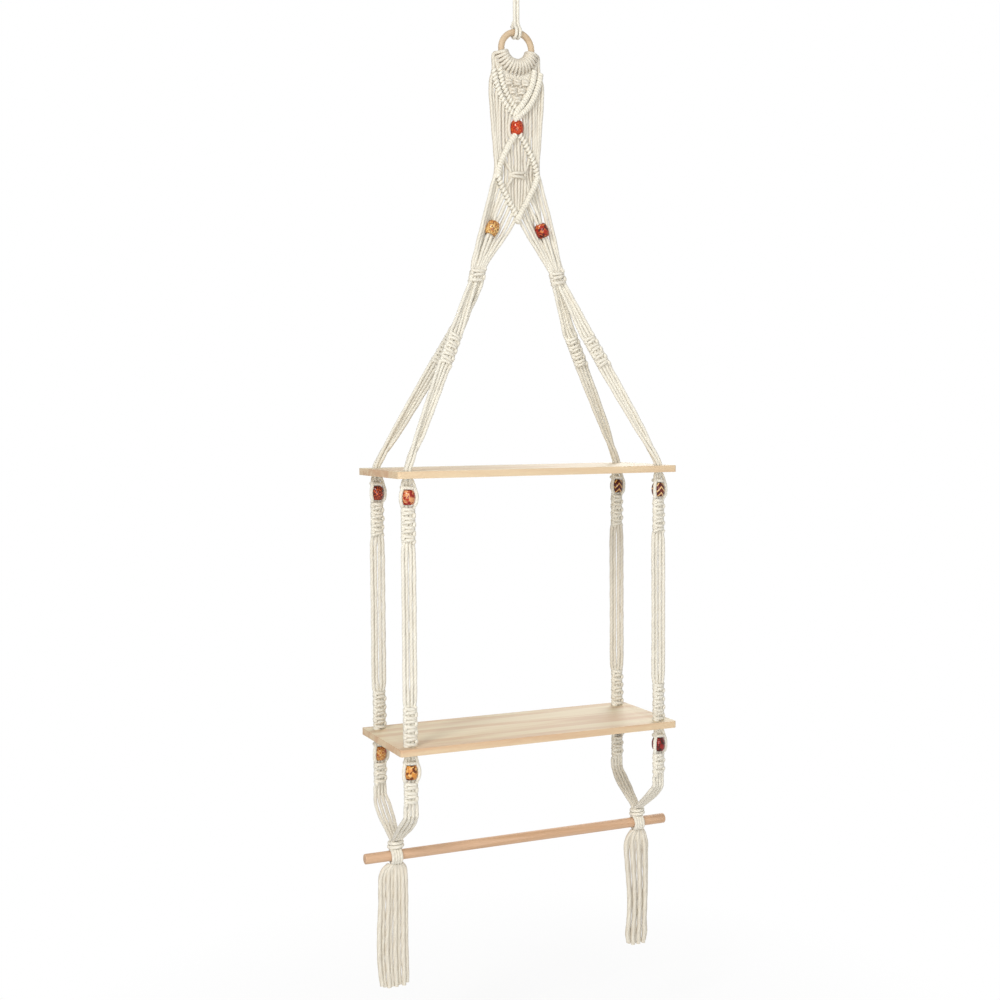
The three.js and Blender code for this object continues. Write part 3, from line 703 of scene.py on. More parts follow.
cage = {
    # cord round the bead: distance from its axis to the side, to the back, height
    "start": (5.2, -0.6, -2.5),  # its height here is from the board's underside
    "course": [(8.7, -3.5, 9.4), (10.2, -3.9, 4.8), (10.5, -3.9, 0.0), (10.2, -3.9, -4.8),
               (8.7, -3.2, -9.4)],
    "girth": 0.86,
    "end": (7.1, 0.5),  # to the side, and down into the knots
    # cords through the bead
    "innerStart": (2.4, -0.3, -3.0),
    "innerSide": 2.35,
    "innerReach": 9.0,
    "knotsBelow": 11.483,
    # turn of cord above the bead
    "bandHeight": 12.2,
    "bandHalfWidth": 7.9,
    "bandHalfDepth": 5.0,
    "bandSlope": 0.5,
    "bandGirth": 0.95,
    "bandHalfTurns": (0.5, 2.6),  # where it begins and ends
    "bandSteps": 15,
    # ends that are tucked in under the last knot: to the side, back, past the knots, thickness
    "tuck": [(5.8, 0.6, 0.4, 1.0), (3.0, 1.2, -2.0, 0.9)],
    "loosened": 4.0,  # mm of loose strands before they lie in pairs
}


# Two strands go through a bead and two round it, tied by a turn of cord above the bead.
def addBeadCage(strands, centre, axes, above):
    look = cage
    below = look["knotsBelow"]
    for k, side in ((0, -1), (3, 1)):
        x, y, height = look["start"]
        strands[k].append(onBundle(centre, axes, side * x, y, -above - height))
        strands[k] += [
            onBundle(centre, axes, side * x, y, -height, look["girth"])
            for x, y, height in look["course"]]
        x, past = look["end"]
        strands[k].append(onBundle(centre, axes, side * x, 0, below + past))
    for k, side in ((1, -1), (2, 1)):
        x, y, height = look["innerStart"]
        strands[k].append(onBundle(centre, axes, side * x, y, -above - height))
        strands[k] += [
            onBundle(centre, axes, side * look["innerSide"], 0, along)
            for along in (-look["innerReach"], look["innerReach"], below)]
    first, last = (halfTurns * math.pi for halfTurns in look["bandHalfTurns"])
    strands.append([
        onBundle(
            centre, axes, look["bandHalfWidth"] * math.cos(a),
            look["bandHalfDepth"] * math.sin(a),
            -look["bandHeight"] + look["bandSlope"] * math.cos(a), look["bandGirth"])
        for a in np.linspace(first, last, look["bandSteps"])])


def hole(corner, z):
    return np.array([corner[0] * places["holeX"], corner[1] * places["holeY"], z])


# The cords below a board: bead, half knots, and either tucked ends or a loose tail.
def finishUnderBoard(strands, corner, board, beadLevel, halfKnots, axes, tail=0):
    bead = hole(corner, beadLevel)
    addBeadCage(strands, bead, axes, board - places["boardThickness"] - beadLevel)
    top = hole(corner, beadLevel - cage["knotsBelow"])
    addSinnet(strands, top, axes, halfKnots)
    end = halfKnots * bundle["halfKnot"]
    if tail:
        addStations(
            strands, flatBundle(top, axes, end + cage["loosened"]),
            flatBundle(top, axes, end + tail, "pairs"))
    else:
        for k, side in ((0, -1), (3, 1)):
            strands[k] += [
                onBundle(top, axes, side * x, y, end + past, girth)
                for x, y, past, girth in cage["tuck"]]


# how far the flat of each corner's cords is turned, in degrees
cornerTurns = {"front_left": -4.0, "back_left": 12.0, "front_right": 14.0, "back_right": 10.0}

leg = {
    # where the outer and the inner leg leave the leg knot, from the knot's middle
    "outOfKnot": (6.6, -2.6),
    # inside the knot, at its foot, and half way on: width and stagger of the row of strands
    "inKnot": (0.46, 1.8),
    "atFoot": (0.56, 1.8),
    "halfWay": (0.78, 1.1),
    "startAbove": 6.0,
    "startInwards": 1.4,
    "footDrop": 2.0,
    "sinnet": 72.0,
    "halfKnots": 8,
    # above the half knots: distance over them, width, stagger
    "overSinnet": [(12.0, 0.94, 0.5), (3.0, 1.0, 0.0)],
    "underSinnet": (4.0, 0.95),  # distance below them, width
    # below the knots, as a share of the way to the board: width and stagger
    "lower": [(0.3, 0.84, 0.8), (0.7, 0.6, 1.7)],
    "entryHeight": 4.0,
    # above the hole and in it: distance before the entry, width
    "intoHole": (14.0, 1.02),
    "underHole": 3.0,
    "upperHalfKnots": 8,
}


def legPieces(name, corner):
    look = leg
    outward = -corner[1] * corner[0]
    pivot = np.array([
        corner[0] * places["legKnotX"] + outward * places["legPivotOffset"], 0,
        levels["legPivot"]])
    board = levels["topBoard"]
    entry = hole(corner, board + look["entryHeight"])
    aside = look["outOfKnot"][0 if outward == corner[0] else 1]
    foot = np.array([corner[0] * (places["legKnotX"] + aside), 0, levels["legKnotFoot"]])
    start = foot + np.array([-look["startInwards"] * corner[0], 0, look["startAbove"]])
    axes = bundleAxes(pivot, entry, -0.5 * cornerTurns[name])
    total = np.linalg.norm(entry - pivot)
    knotTop = pivot + axes[0] * look["sinnet"]
    fromKnot = bundleAxes(foot, knotTop, -0.5 * cornerTurns[name])
    reach = np.linalg.norm(knotTop - foot)
    knotEnd = look["sinnet"] + look["halfKnots"] * bundle["halfKnot"]
    straight = hanging(cornerTurns[name])
    strands = [[], [], [], []]
    addStations(
        strands,
        flatBundle(start, fromKnot, 0, "flat", *look["inKnot"]),
        flatBundle(foot, fromKnot, look["footDrop"], "flat", *look["atFoot"]),
        flatBundle(foot, fromKnot, 0.5 * reach, "flat", *look["halfWay"]),
        *[flatBundle(pivot, axes, look["sinnet"] - over, "flat", *row)
          for over, *row in look["overSinnet"]])
    addSinnet(strands, knotTop, axes, look["halfKnots"])
    below, size = look["underSinnet"]
    addStations(strands, flatBundle(pivot, axes, knotEnd + below, size=size))
    for share, size, stagger in look["lower"]:
        along = (1 - share) * knotEnd + share * total
        addStations(strands, flatBundle(pivot, axes, along, "flat", size, stagger))
    before, size = look["intoHole"]
    addStations(
        strands,
        squareBundle(entry, axes, -before, size),
        squareBundle(entry, straight, look["underHole"], 1.0),
        squareBundle(entry, straight, look["entryHeight"] + places["boardThickness"], 1.0))
    finishUnderBoard(
        strands, corner, board, levels["upperBead"], look["upperHalfKnots"], straight)
    makeCords("legCords_" + name, strands, "upper_tier", "leg_" + name)


for name, corner in corners.items():
    legPieces(name, corner)
print("legs")

post = {
    "turns": {"front_left": 3.0, "back_left": -6.0, "front_right": -5.0, "back_right": -18.0},
    # painted shade: the posts farther back and to the right, which stand in shade, are darker
    "shadeTones": {"front_left": 0.0, "back_left": 0.04, "front_right": 0.06, "back_right": 0.18},
    # from either end: distance inwards, row, width, stagger
    "ends": [(-7.0, "flat", 0.8, 0.0), (0.0, "flat", 0.96, -0.5), (10.0, "pairs", 1.0, 0.0)],
    # between them: share of the way down, width, stagger
    "middle": [(0.35, 1.01, 0.5), (0.65, 1.0, 0.5)],
}


def postPieces(name, corner):
    look = post
    top, foot = hole(corner, levels["upperPivot"]), hole(corner, levels["lowerPivot"])
    axes = hanging(look["turns"][name])
    drop = top[2] - foot[2]
    strands = [[], [], [], []]
    addStations(
        strands,
        *[flatBundle(top, axes, inwards, *row) for inwards, *row in look["ends"]],
        *[flatBundle(top, axes, share * drop, "pairs", *row) for share, *row in look["middle"]],
        *[flatBundle(foot, axes, -inwards, *row) for inwards, *row in look["ends"][::-1]])
    makeCords(
        "postCords_" + name, strands, "post_" + name, "post_" + name,
        tone=look["shadeTones"][name])


for name, corner in corners.items():
    postPieces(name, corner)
print("posts")

lowerCords = {
    "halfKnots": 9,
    "start": (2.5, 0.85),  # distance below the joint, and width
    # at the board's upper face and in its hole: distance below the face, width
    "intoHole": [(-0.5, 1.15), (3.0, 1.0)],
    "underHalfKnots": 5,
    "tail": 18.0,
}


def lowerCordPieces(name, corner):
    look = lowerCords
    board = levels["lowerBoard"]
    top, end = hole(corner, levels["lowerSinnet"]), hole(corner, board)
    axes = hanging(cornerTurns[name])
    strands = [[], [], [], []]
    along, size = look["start"]
    addStations(strands, flatBundle(top, axes, along, size=size))
    addSinnet(strands, top, axes, look["halfKnots"])
    addStations(
        strands, *[squareBundle(end, axes, *row) for row in look["intoHole"]],
        squareBundle(end, axes, places["boardThickness"], 1.0))
    finishUnderBoard(
        strands, corner, board, levels["lowerBead"], look["underHalfKnots"], axes,
        look["tail"])
    makeCords("lowerCords_" + name, strands, "lower_tier", "lower_cords_" + name)


for name, corner in corners.items():
    lowerCordPieces(name, corner)
print("lower cords")

sling = {
    "tone": 0.06,
    "fullness": {"left": 1.0, "right": 0.84},
    # in the knots above: distance below the joint, width
    "start": [(-7.0, 0.97), (-1.5, 1.0)],
    "bulge": 2.5,
    # share of the way to the knot over the dowel: width, thickness, share of the bulge
    "stations": [(0.04, 1.08, 1.04, 0.3), (0.2, 1.28, 1.2, 0.9), (0.42, 1.24, 1.22, 1.0),
                 (0.68, 1.0, 1.14, 0.6), (0.9, 0.75, 1.0, 0.2)],
    # how far the inner and the outer strands of a pair lie over the other pair at the knot
    "over": (1.3, 0.78),
    # in the knot over the dowel: width, back, height, thickness
    "inKnot": [(0.7, 3.0, 1, 0.98), (0.66, 2.4, -9, 0.95)],
}


def slingPieces(side, name):
    look = sling
    x0, z0 = side * places["holeX"], levels["apex"]
    apex = np.array([x0, 0, z0])
    routes = []
    for front, corner in ((-1, "front_" + name), (1, "back_" + name)):
        top = np.array([x0, front * places["holeY"], levels["slingPivot"]])
        axis = bundleAxes(top, apex)[0]
        axes = (axis, xAxis, np.cross(xAxis, axis))
        length = np.linalg.norm(apex - top)
        turned = hanging(cornerTurns[corner])
        strands = [[], [], [], []]
        addStations(
            strands, *[flatBundle(top, turned, along, "pairs", size)
                       for along, size in look["start"]])
        for share, fullness, thick, bulge in look["stations"]:
            wide = fullness * look["fullness"][name]
            middle = top + front * look["bulge"] * bulge * axes[2]
            inner, outer = look["over"]
            addStations(strands, [
                onBundle(middle, axes, x * wide, front * share * (inner if k in (1, 2) else outer),
                         share * length, thick)
                for k, x in enumerate(bundle["flat"])])
        for wide, back, height, thick in look["inKnot"]:
            addStations(strands, [
                spot(x0 + x * wide, front * back, z0 + height, thick) for x in bundle["flat"]])
        routes += strands
    makeCords(
        "slingCords_" + name, routes, "sling_" + name, "sling_" + name, tone=look["tone"])


rodKnot = {
    "turns": 4,
    "steps": 12,  # points of a turn
    "pitch": 4.5,
    "overRod": 2.75,  # from the dowel's surface to the middle of the cord
    "girth": 0.98,
    # turns of cord above the dowel: height over its axis, half width, half depth
    "neck": [(12.6, 9.2, 7.4), (17.4, 8.6, 6.8)],
    "neckSlope": 0.6,
    "neckOverlap": 0.4,  # radians that a turn runs on past its start
    "neckSteps": 16,
}


def rodKnotPieces(side, name):
    look = rodKnot
    x0, rod = side * places["holeX"], levels["rod"]
    reach = places["rodRadius"] + look["overRod"]
    count = look["turns"] * look["steps"]
    half = look["pitch"] * (look["turns"] - 1) / 2 + 0.5
    coil = []
    for k in range(count + 1):
        a = 2 * math.pi * k / look["steps"]
        coil.append(spot(
            x0 - half + 2 * half * k / count, -reach * math.sin(a),
            rod + reach * math.cos(a), look["girth"]))
    neck = [
        turnOfCord(
            x0, rod + lift, wide, deep, look["neckSlope"], look["neckOverlap"],
            look["neckSteps"])
        for lift, wide, deep in look["neck"]]
    makeCords(
        "rodKnot_" + name, [coil, *neck], "rod_knots", "rod_knot_" + name, waver=0.0)


for name, side in sides.items():
    slingPieces(side, name)
    rodKnotPieces(side, name)
print("slings")

panel = {
    "strands": 8,  # on each side
    # painted shade over the whole panel, for the deep shading between its strands
    "tone": 0.05,
    # painted shade on the flanks of the panel's strands
    "creaseShade": 0.55,
    # round the ring's tube: turn in degrees from the outermost point, thickness
    "overRing": [(-58, 0.98), (-90, 0.9), (-122, 0.8), (-152, 0.68), (180, 0.62), (152, 0.68),
                 (122, 0.8), (90, 0.9), (58, 0.95)],
    "overTube": 2.7,
    "loopAngle": 10.0,  # degrees of the ring for each strand
    # two strands are one cord, held by a bar behind the ring: share of that angle, and the
    # bar's distance from the ring's middle, back and thickness
    "barEnds": (0.9, 0.1),
    "bar": (28.6, 6.2, 0.95),
    # below the ring: distance from its middle, back, thickness
    "underRing": [(29.2, -3.6, 0.97), (33.2, 0.4, 0.97)],
    # lines of the ridges: distance from the middle, drop below the middle of the ring
    "innerV": [(24.6, 28), (23.5, 36), (20.5, 47), (15.5, 58), (9, 68.5), (1.5, 78.5)],
    "outerV": [(33.5, 31), (31.8, 40), (27.5, 53), (21.5, 66), (11.5, 79), (1.2, 88.5)],
    "upperSide": [(3.4, 112.5), (11.5, 124), (18.5, 137), (24.5, 150), (28.6, 166)],
    "lowerSide": [(28.6, 166), (22.7, 180.6), (17.5, 189.8), (12.4, 199.6), (7, 208),
                  (1.5, 219)],
    "forward": {-1: -1.2, 1: -2.6},  # back of the left and of the right ridges
    "beyond": 7.0,  # the right-hand ridges run on past the middle, over the others
    # strands in a ridge: back and thickness
    "inInnerV": (0.8, 0.9),
    "inOuterV": (0.8, 0.95),
    "inUpperSide": (1.2, 0.95),
    "closestInV": 2.4,
    # distance of each strand in the outer V and in the diamond's upper side
    "outerCrossing": [1.8, 8.5, 14.0, 19.0, 23.5, 27.5, 31.0, 33.4],
    "upperCrossing": [2.2, 8.6, 13.4, 18.2, 22.0],
    "firstUpperDrop": 119.0,  # of the innermost strand there
    "beadDrop": 102.5,
    # strands through and beside the bead: distance and back
    "besideBead": [(2.15, 0.0), (11.5, 0.0), (15.0, 2.0)],
    "throughBead": (9, 0.88),  # half the length that lies in the bead, thickness there
    "alongBead": (-4, 4),  # drops from the bead's middle
    # on the way to the bead: share of the distance, drop below the outer V, lowest drop,
    # share of the back
    "toBead": (0.6, 10, 94, 0.3),
    # courses of the strands farther out: distance, drop, back, thickness
    "besideInnerV": [(27.0, 29.0, 0.6)],
    "upperCourse": {
        3: [(19.8, 76, 0.4)], 4: [(24.4, 70, 0.4)], 5: [(28.9, 64, 0.5), (28.2, 84, 1.2)],
        6: [(33.6, 53, 1.6), (32.9, 74, 1.4)]},
    "upperGirth": 1.04,
    "lowerCourse": {
        3: [(15.4, 150, 0.4, 1.15)],
        4: [(16.8, 149, 2.2, 1.2), (15.2, 157, 2.4, 1.25), (15.2, 164, 2.0, 1.25),
            (16.6, 173, 1.2, 1.2)],
        5: [(26.7, 134, 0.5), (22.0, 150, 3.2, 1.25), (20.6, 161, 3.2, 1.25), (22.0, 171, 3.6)],
        6: [(29.6, 138, 0), (26.6, 153, 2.8, 1.15), (25.8, 171, 3.6)]},
    "outerStrand": [(37.4, 44), (38.0, 54), (37.0, 72), (35.0, 98), (32.3, 130), (30.7, 152),
                    (31.3, 164), (32.0, 170)],
}
smallKnots = {
    # drop of each row, and the middles of its knots
    "rows": [(39.0, (-12.2, 0.0, 12.2)), (50.2, (-6.1, 6.1)), (61.4, (0.0,))],
    "places": (-1.45, -0.5, 0.5, 1.45),  # of the four strands, in units
    "unit": 2.95,
    "depth": 4.3,
    "pitch": 4.9,
    "girth": 0.84,
    "startAbove": 0.5,
}
crossKnot = {
    "drop": 158.0,
    "pitch": 6.2,
    "unit": 6.9,
    "depth": 4.9,
    "workerEnd": (15.6, 182.0),
    # strands inside the knot: distance in it, distance below it, back above it
    "fillers": [(2.25, 2.3, -0.6), (6.7, 7.0, 1.8), (11.0, 11.6, -0.2)],
    # above it, inside it twice and below it: drop from the knot's top
    "fillerDrops": (-14, 2, 10, 23),
    "fillerGirths": (1.13, 1.1),  # above and below
    "fillerForward": -0.6,
    "fillerBackBelow": 0.6,  # share of the back above
}


def onPanel(side, x, drop, y=0.0, girth=1.0):
    return spot(side * x, y, levels["ring"] - drop, girth)


# Point of a ridge at a share of its length.
def onRidge(key, share):
    table = np.array(panel[key], float)
    gone = np.concatenate([[0], np.cumsum(np.linalg.norm(np.diff(table, axis=0), axis=1))])
    return [float(np.interp(share * gone[-1], gone, column)) for column in table.T]


# Drop of a ridge at a distance from the middle.
def ridgeDrop(key, x):
    return float(np.interp(x, *zip(*sorted(panel[key]))))


def lowerCrossing(i):
    return onRidge("lowerSide", 1 - i / (panel["strands"] - 1))


# A strand over the ring's tube, from its front foot round the inside to its back foot.
def overRing(angle):
    a = math.radians(angle)
    out = np.array([math.sin(a), 0, -math.cos(a)])
    tube = places["ringTube"] + panel["overTube"]
    made = []
    for turn, girth in panel["overRing"]:
        t = math.radians(turn)
        p = np.array([0, 0, levels["ring"]]) + out * (
            places["ringRadius"] + tube * math.cos(t)) + yAxis * tube * math.sin(t)
        made.append(spot(*p, girth))
    return made


# The way of strand i, counted outwards from the middle, through the rows of small knots.
def throughSmallKnots(side, i):
    look = smallKnots
    path = []
    for drop, middles in look["rows"]:
        half = 2 * len(middles)
        if i >= half:
            continue
        knot, role = divmod(half + i if side > 0 else half - 1 - i, 4)
        top = levels["ring"] - drop
        x = middles[knot] + look["places"][role] * look["unit"]
        path.append(spot(x, 0, top + look["startAbove"], look["girth"]))
        if role in (0, 3):
            front, back = workerRoutes(
                (middles[knot], 0, top), down, 2, look["pitch"], look["unit"], look["depth"],
                girth=look["girth"])
            path += front if role == 0 else back
        else:
            path.append(spot(x, 0, top - 2 * look["pitch"], look["girth"]))
    return path


# From the outer V past the bead: strand 0 runs through it, and strands 1 and 2 beside it.
def pastBead(side, i, x, drop):
    wide, back = panel["besideBead"][i]
    middle = panel["beadDrop"]
    if i == 0:
        half, girth = panel["throughBead"]
        return [onPanel(side, wide, middle + step, 0, girth) for step in (-half, half)]
    share, fall, lowest, backShare = panel["toBead"]
    return [
        onPanel(side, x + (wide - x) * share, min(drop + fall, lowest), backShare * back),
        *[onPanel(side, wide, middle + step, back) for step in panel["alongBead"]]]


def throughCrossKnot(side, i):
    look = crossKnot
    x, below, back = look["fillers"][i]
    drops = [look["drop"] + step for step in look["fillerDrops"]]
    before, after = look["fillerGirths"]
    return [
        onPanel(side, 0.5 * (x + below), drops[0], back, before),
        onPanel(side, x, drops[1], look["fillerForward"]),
        onPanel(side, x, drops[2], look["fillerForward"]),
        onPanel(side, below, drops[3], look["fillerBackBelow"] * back, after)]


def roundCrossKnot(side):
    look = crossKnot
    front, back = workerRoutes(
        (0, 0, levels["ring"] - look["drop"]), down, 2, look["pitch"], look["unit"],
        look["depth"], first=1)
    return (back if side < 0 else front) + [onPanel(side, *look["workerEnd"])]


# Strand i, counted outwards from the middle, from the ring to the lower side of the diamond.
# The inner six pass the small knots, the next lies beside them, and the last stays outside.
def panelStrand(side, i):
    look = panel
    out = math.radians((i + 0.5) * look["loopAngle"])
    path = [
        onPanel(side, reach * math.sin(out), reach * math.cos(out), *row)
        for reach, *row in look["underRing"]]
    if i < 6:
        path += throughSmallKnots(side, i)
        x = max(abs(path[-1][0]), look["closestInV"])
        path.append(onPanel(side, x, ridgeDrop("innerV", x), *look["inInnerV"]))
    elif i == 6:
        path += [onPanel(side, *p) for p in look["besideInnerV"]]
    x = look["outerCrossing"][i]
    drop = ridgeDrop("outerV", x)
    path.append(onPanel(side, x, drop, *look["inOuterV"]))
    if i == 7:
        return path + [onPanel(side, *p) for p in look["outerStrand"]]
    if i < 3:
        path += pastBead(side, i, x, drop)
    else:
        path += [onPanel(side, *p, look["upperGirth"]) for p in look["upperCourse"][i]]
    if i < 5:
        x = look["upperCrossing"][i]
        drop = ridgeDrop("upperSide", x) if i else look["firstUpperDrop"]
        path.append(onPanel(side, x, drop, *look["inUpperSide"]))
    if i < 3:
        path += throughCrossKnot(side, i)
    else:
        path += [onPanel(side, *p) for p in look["lowerCourse"][i]]
    if i == 3:
        path += roundCrossKnot(side)
    return path + [onPanel(side, *lowerCrossing(i), 1.0)]


ridgeKeys = ("innerV", "outerV", "upperSide", "lowerSide")


def ridgeLine(side, key):
    look = panel
    points = [onPanel(side, x, drop, look["forward"][side]) for x, drop in look[key]]
    if side > 0 and key != "upperSide":
        run = unit(points[-1][:3] - points[-2][:3]) * look["beyond"]
        points.append(points[-1] + spot(*run, 0))
    return points


def panelPieces():
    look = panel
    step = look["loopAngle"]
    reach, back, girth = look["bar"]
    routes = []
    for side in sides.values():
        for i in range(0, look["strands"], 2):
            first, second = (
                overRing(side * (k + 0.5) * step)[::-1] + panelStrand(side, k)
                for k in (i, i + 1))
            bar = []
            for k, share in zip((i, i + 1), look["barEnds"]):
                a = math.radians((k + share) * step)
                bar.append(onPanel(side, reach * math.sin(a), reach * math.cos(a), back, girth))
            routes.append(first[::-1] + bar + second)
    routes += [ridgeLine(side, key) for side in sides.values() for key in ridgeKeys]
    makeCords(
        "panelCords", routes, "panel", "macrame_panel", tone=look["tone"],
        creaseShade=look["creaseShade"])


hitch = {
    "loopRadius": 2.6 * mm,
    "unevenness": 0.07,
    "growth": (0.95, 1.05),  # sizes of the smallest and the largest loop
    "steps": 20,  # points of a loop
    "groove": 0.1,
    "twist": 4 * math.pi / 3,  # of the cord's plies in one loop
    "seed": 3,
    # two ways of pulling the hitches tight: pitch, cord, slant in degrees
    "loose": (4.7 * mm, 4.6 * mm, 38.0),
    "tight": (3.7 * mm, 4.4 * mm, 14.0),
}


# A row of half hitches: loops that stand across a line, lean by the slant and differ a little.
def hitchRowTree():
    pitch, cord, slant = hitch["loose"]
    tree, given, result = newGeometryTree("hitchRow", {
        "Pitch": pitch, "Loop Radius": hitch["loopRadius"], "Cord": cord,
        "Slant": math.radians(slant), "Unevenness": hitch["unevenness"], "Seed": hitch["seed"]})
    line = addNode(tree, "GeometryNodeMeshToCurve", {"Mesh": given.outputs["Geometry"]})
    points = addNode(
        tree, "GeometryNodeCurveToPoints", {"Curve": line, "Length": given.outputs["Pitch"]},
        mode="LENGTH")
    circle = addNode(
        tree, "GeometryNodeCurvePrimitiveCircle",
        {"Resolution": hitch["steps"], "Radius": given.outputs["Loop Radius"]}, mode="RADIUS")
    spline = addNode(tree, "GeometryNodeSplineParameter")
    twist = sums(tree, "MULTIPLY", spline.outputs["Factor"], hitch["twist"])
    turned = storeValue(tree, circle, "turn", twist)
    measured = storeValue(tree, turned, "along", spline.outputs["Length"])
    tilted = addNode(
        tree, "GeometryNodeSetCurveTilt", {"Curve": measured, "Tilt": readValue(tree, "turn")})
    section = lobedSection(tree, given.outputs["Cord"], hitch["groove"], 3)
    loop = addNode(
        tree, "GeometryNodeCurveToMesh", {"Curve": tilted, "Profile Curve": section})
    loop = storeCordSpace(tree, loop, given.outputs["Cord"])
    chance, growth = (
        addNode(
            tree, "FunctionNodeRandomValue",
            {2: low, 3: high, "Seed": given.outputs["Seed"]}, data_type="FLOAT").outputs[1]
        for low, high in ((-1.0, 1.0), hitch["growth"]))
    stray = sums(tree, "MULTIPLY", chance, given.outputs["Unevenness"])
    lean = addNode(
        tree, "ShaderNodeCombineXYZ", {1: sums(tree, "ADD", stray, given.outputs["Slant"])})
    upright = addNode(
        tree, "FunctionNodeAlignRotationToVector", {"Vector": points.outputs["Tangent"]},
        axis="Z")
    leaned = addNode(
        tree, "FunctionNodeRotateRotation", {"Rotation": upright, "Rotate By": lean},
        rotation_space="GLOBAL")
    placed = addNode(
        tree, "GeometryNodeInstanceOnPoints",
        {"Points": points, "Instance": loop, "Rotation": leaned, "Scale": growth})
    endTree(tree, placed, given, result)
    return tree


def ridgePieces():
    hitchRow = hitchRowTree()
    for name, side in sides.items():
        for key in ridgeKeys:
            falls = key != "upperSide"
            pitch, cord, slant = hitch["loose" if falls == (side < 0) else "tight"]
            piece = lineMesh("ridge_" + key + "_" + name, [ridgeLine(side, key)], waver=0.0)
            runTree(piece, hitchRow, {
                "Pitch": pitch,
                "Loop Radius": hitch["loopRadius"],
                "Cord": cord,
                "Slant": math.radians(slant) * side * (1 if falls else -1),
                "Unevenness": hitch["unevenness"],
                "Seed": hitch["seed"] + len(key) + side,
                "Material": cotton})
            dress(piece, "panel", "cotton")


panelPieces()
ridgePieces()
print("panel")

fan = {
    # painted shade on the flanks of the fan's strands
    "creaseShade": 0.22,
    # the bead lies on the way from the ridge above to the leg knot
    "ridgeEnds": ((28.0, 166.0), (1.5, 221.0)),
    "ridgeGap": 4.7,
    "beadShare": 0.43,
    # strands that come from outside or behind the ridge: distance, drop, back
    "starts": {5: (24.4, 170, 3.8), 6: (28.6, 169, 3.2), 7: (31.8, 164, 0)},
    "startGirth": 1.1,
    # strands beside the bead: distance, drop, back, thickness
    "courses": {
        0: [(10.7, 235.3, 0.0, 1.1)], 1: [(18.0, 235.3, 0.0, 1.1)],
        2: [(24.4, 235.3, 3.6, 1.1)], 5: [(34.08, 205.915, 5.39), (42.0, 235.3, 9.8, 1.1)],
        6: [(47.9, 235.3, 2.6, 1.1)], 7: [(52.2, 235.3, -0.4, 1.1)]},
    # the two strands in it: step from its middle, distance from its axis, thickness
    "throughBead": [(-19, 3.01, 1.12), (-9.5, 2.15, 0.88), (9.5, 2.15, 0.88),
                    (20, 2.4725, 1.08)],
    # carrying cords of the ridges, which run behind the strands
    "carriers": [
        [(13.6, 197, 2.6), (22.8, 218, 4.4), (30.2, 235, 11.2), (37.5, 252, 4.2)],
        [(21.5, 183, 2.6), (31.5, 212, 4.8), (36.6, 235, 12.4), (44.6, 256, 4.0)],
    ],
    "carrierBack": 2.5,
    "carrierEnds": (-1, 9),  # steps below the knot's top
}
legKnot = {
    "height": 19.0,
    "lean": 13.0,  # degrees that the knots follow each other outwards
    "tilt": {-1: 2.0, 1: 11.0},  # degrees that each side's knots are turned from level
    "halfKnots": 3,
    "pitch": 6.1,
    "widthUnit": 6.1,
    "depthUnit": 5.6,
    "girth": 1.02,
    "entry": (2.55, 0.3, -1.5),  # mm between the strands, back, and step below the knot's top
    # inside: mm between the strands, back of the even and the odd ones, steps below the top
    "inside": (2.1, (1.8, -1.6), (6, 13, 19)),
}


def fanBead(side):
    (x0, d0), (x1, d1) = fan["ridgeEnds"]
    outward = unit(np.array([side * (d1 - d0), 0.0, x1 - x0]))
    start = np.array([side * (x0 + x1) / 2, 0, levels["ring"] - (d0 + d1) / 2])
    start = start + outward * fan["ridgeGap"]
    end = np.array([side * places["legKnotX"], 0, levels["legKnotTop"]])
    return start + (end - start) * fan["beadShare"], unit(end - start)


# Top of the knot where a fan ends, and its axes.
def legKnotPlace(side):
    lean, tilt = (math.radians(x) for x in (legKnot["lean"] * side, legKnot["tilt"][side]))
    along = xAxis * math.sin(lean) - zAxis * math.cos(lean)
    axes = (along, xAxis * math.cos(tilt) + zAxis * math.sin(tilt), yAxis)
    middle = np.array([
        side * places["legKnotX"], 0, (levels["legKnotTop"] + levels["legKnotFoot"]) / 2])
    return middle - along * legKnot["height"] / 2, axes


def fanPieces(side, name):
    look, knot = fan, legKnot
    bead, axis = fanBead(side)
    outwards = np.cross(yAxis, axis) * -side
    top, axes = legKnotPlace(side)
    spacing, back, step = knot["entry"]
    inside, backs, steps = knot["inside"]
    routes = []
    workers = {}
    last = panel["strands"] - 1
    for i in range(panel["strands"]):
        place = i - last / 2
        start = look["starts"].get(i, (*lowerCrossing(i), 1.0))
        path = [onPanel(side, *start, look["startGirth"])]
        if i in look["courses"]:
            path += [onPanel(side, *p) for p in look["courses"][i]]
        else:
            path += [
                spot(*(bead + outwards * math.copysign(apart, place) + axis * end), girth)
                for end, apart, girth in look["throughBead"]]
        path.append(onBundle(top, axes, side * place * spacing, back, step))
        if i in (0, last):
            workers[side if i else -side] = path
        else:
            path += [
                onBundle(top, axes, side * place * inside, backs[i % 2], run) for run in steps]
        routes.append(path)
    front, behind = workerRoutes(
        top, axes, knot["halfKnots"], knot["pitch"], knot["widthUnit"], knot["depthUnit"],
        girth=knot["girth"])
    workers[-1].extend(front)
    workers[1].extend(behind)
    for points in look["carriers"]:
        routes.append(
            [onPanel(side, *p) for p in points]
            + [onBundle(top, axes, 0, look["carrierBack"], run) for run in look["carrierEnds"]])
    makeCords("fanCords_" + name, routes, "panel", "fan_" + name, creaseShade=look["creaseShade"])


for name, side in sides.items():
    fanPieces(side, name)
print("fans")

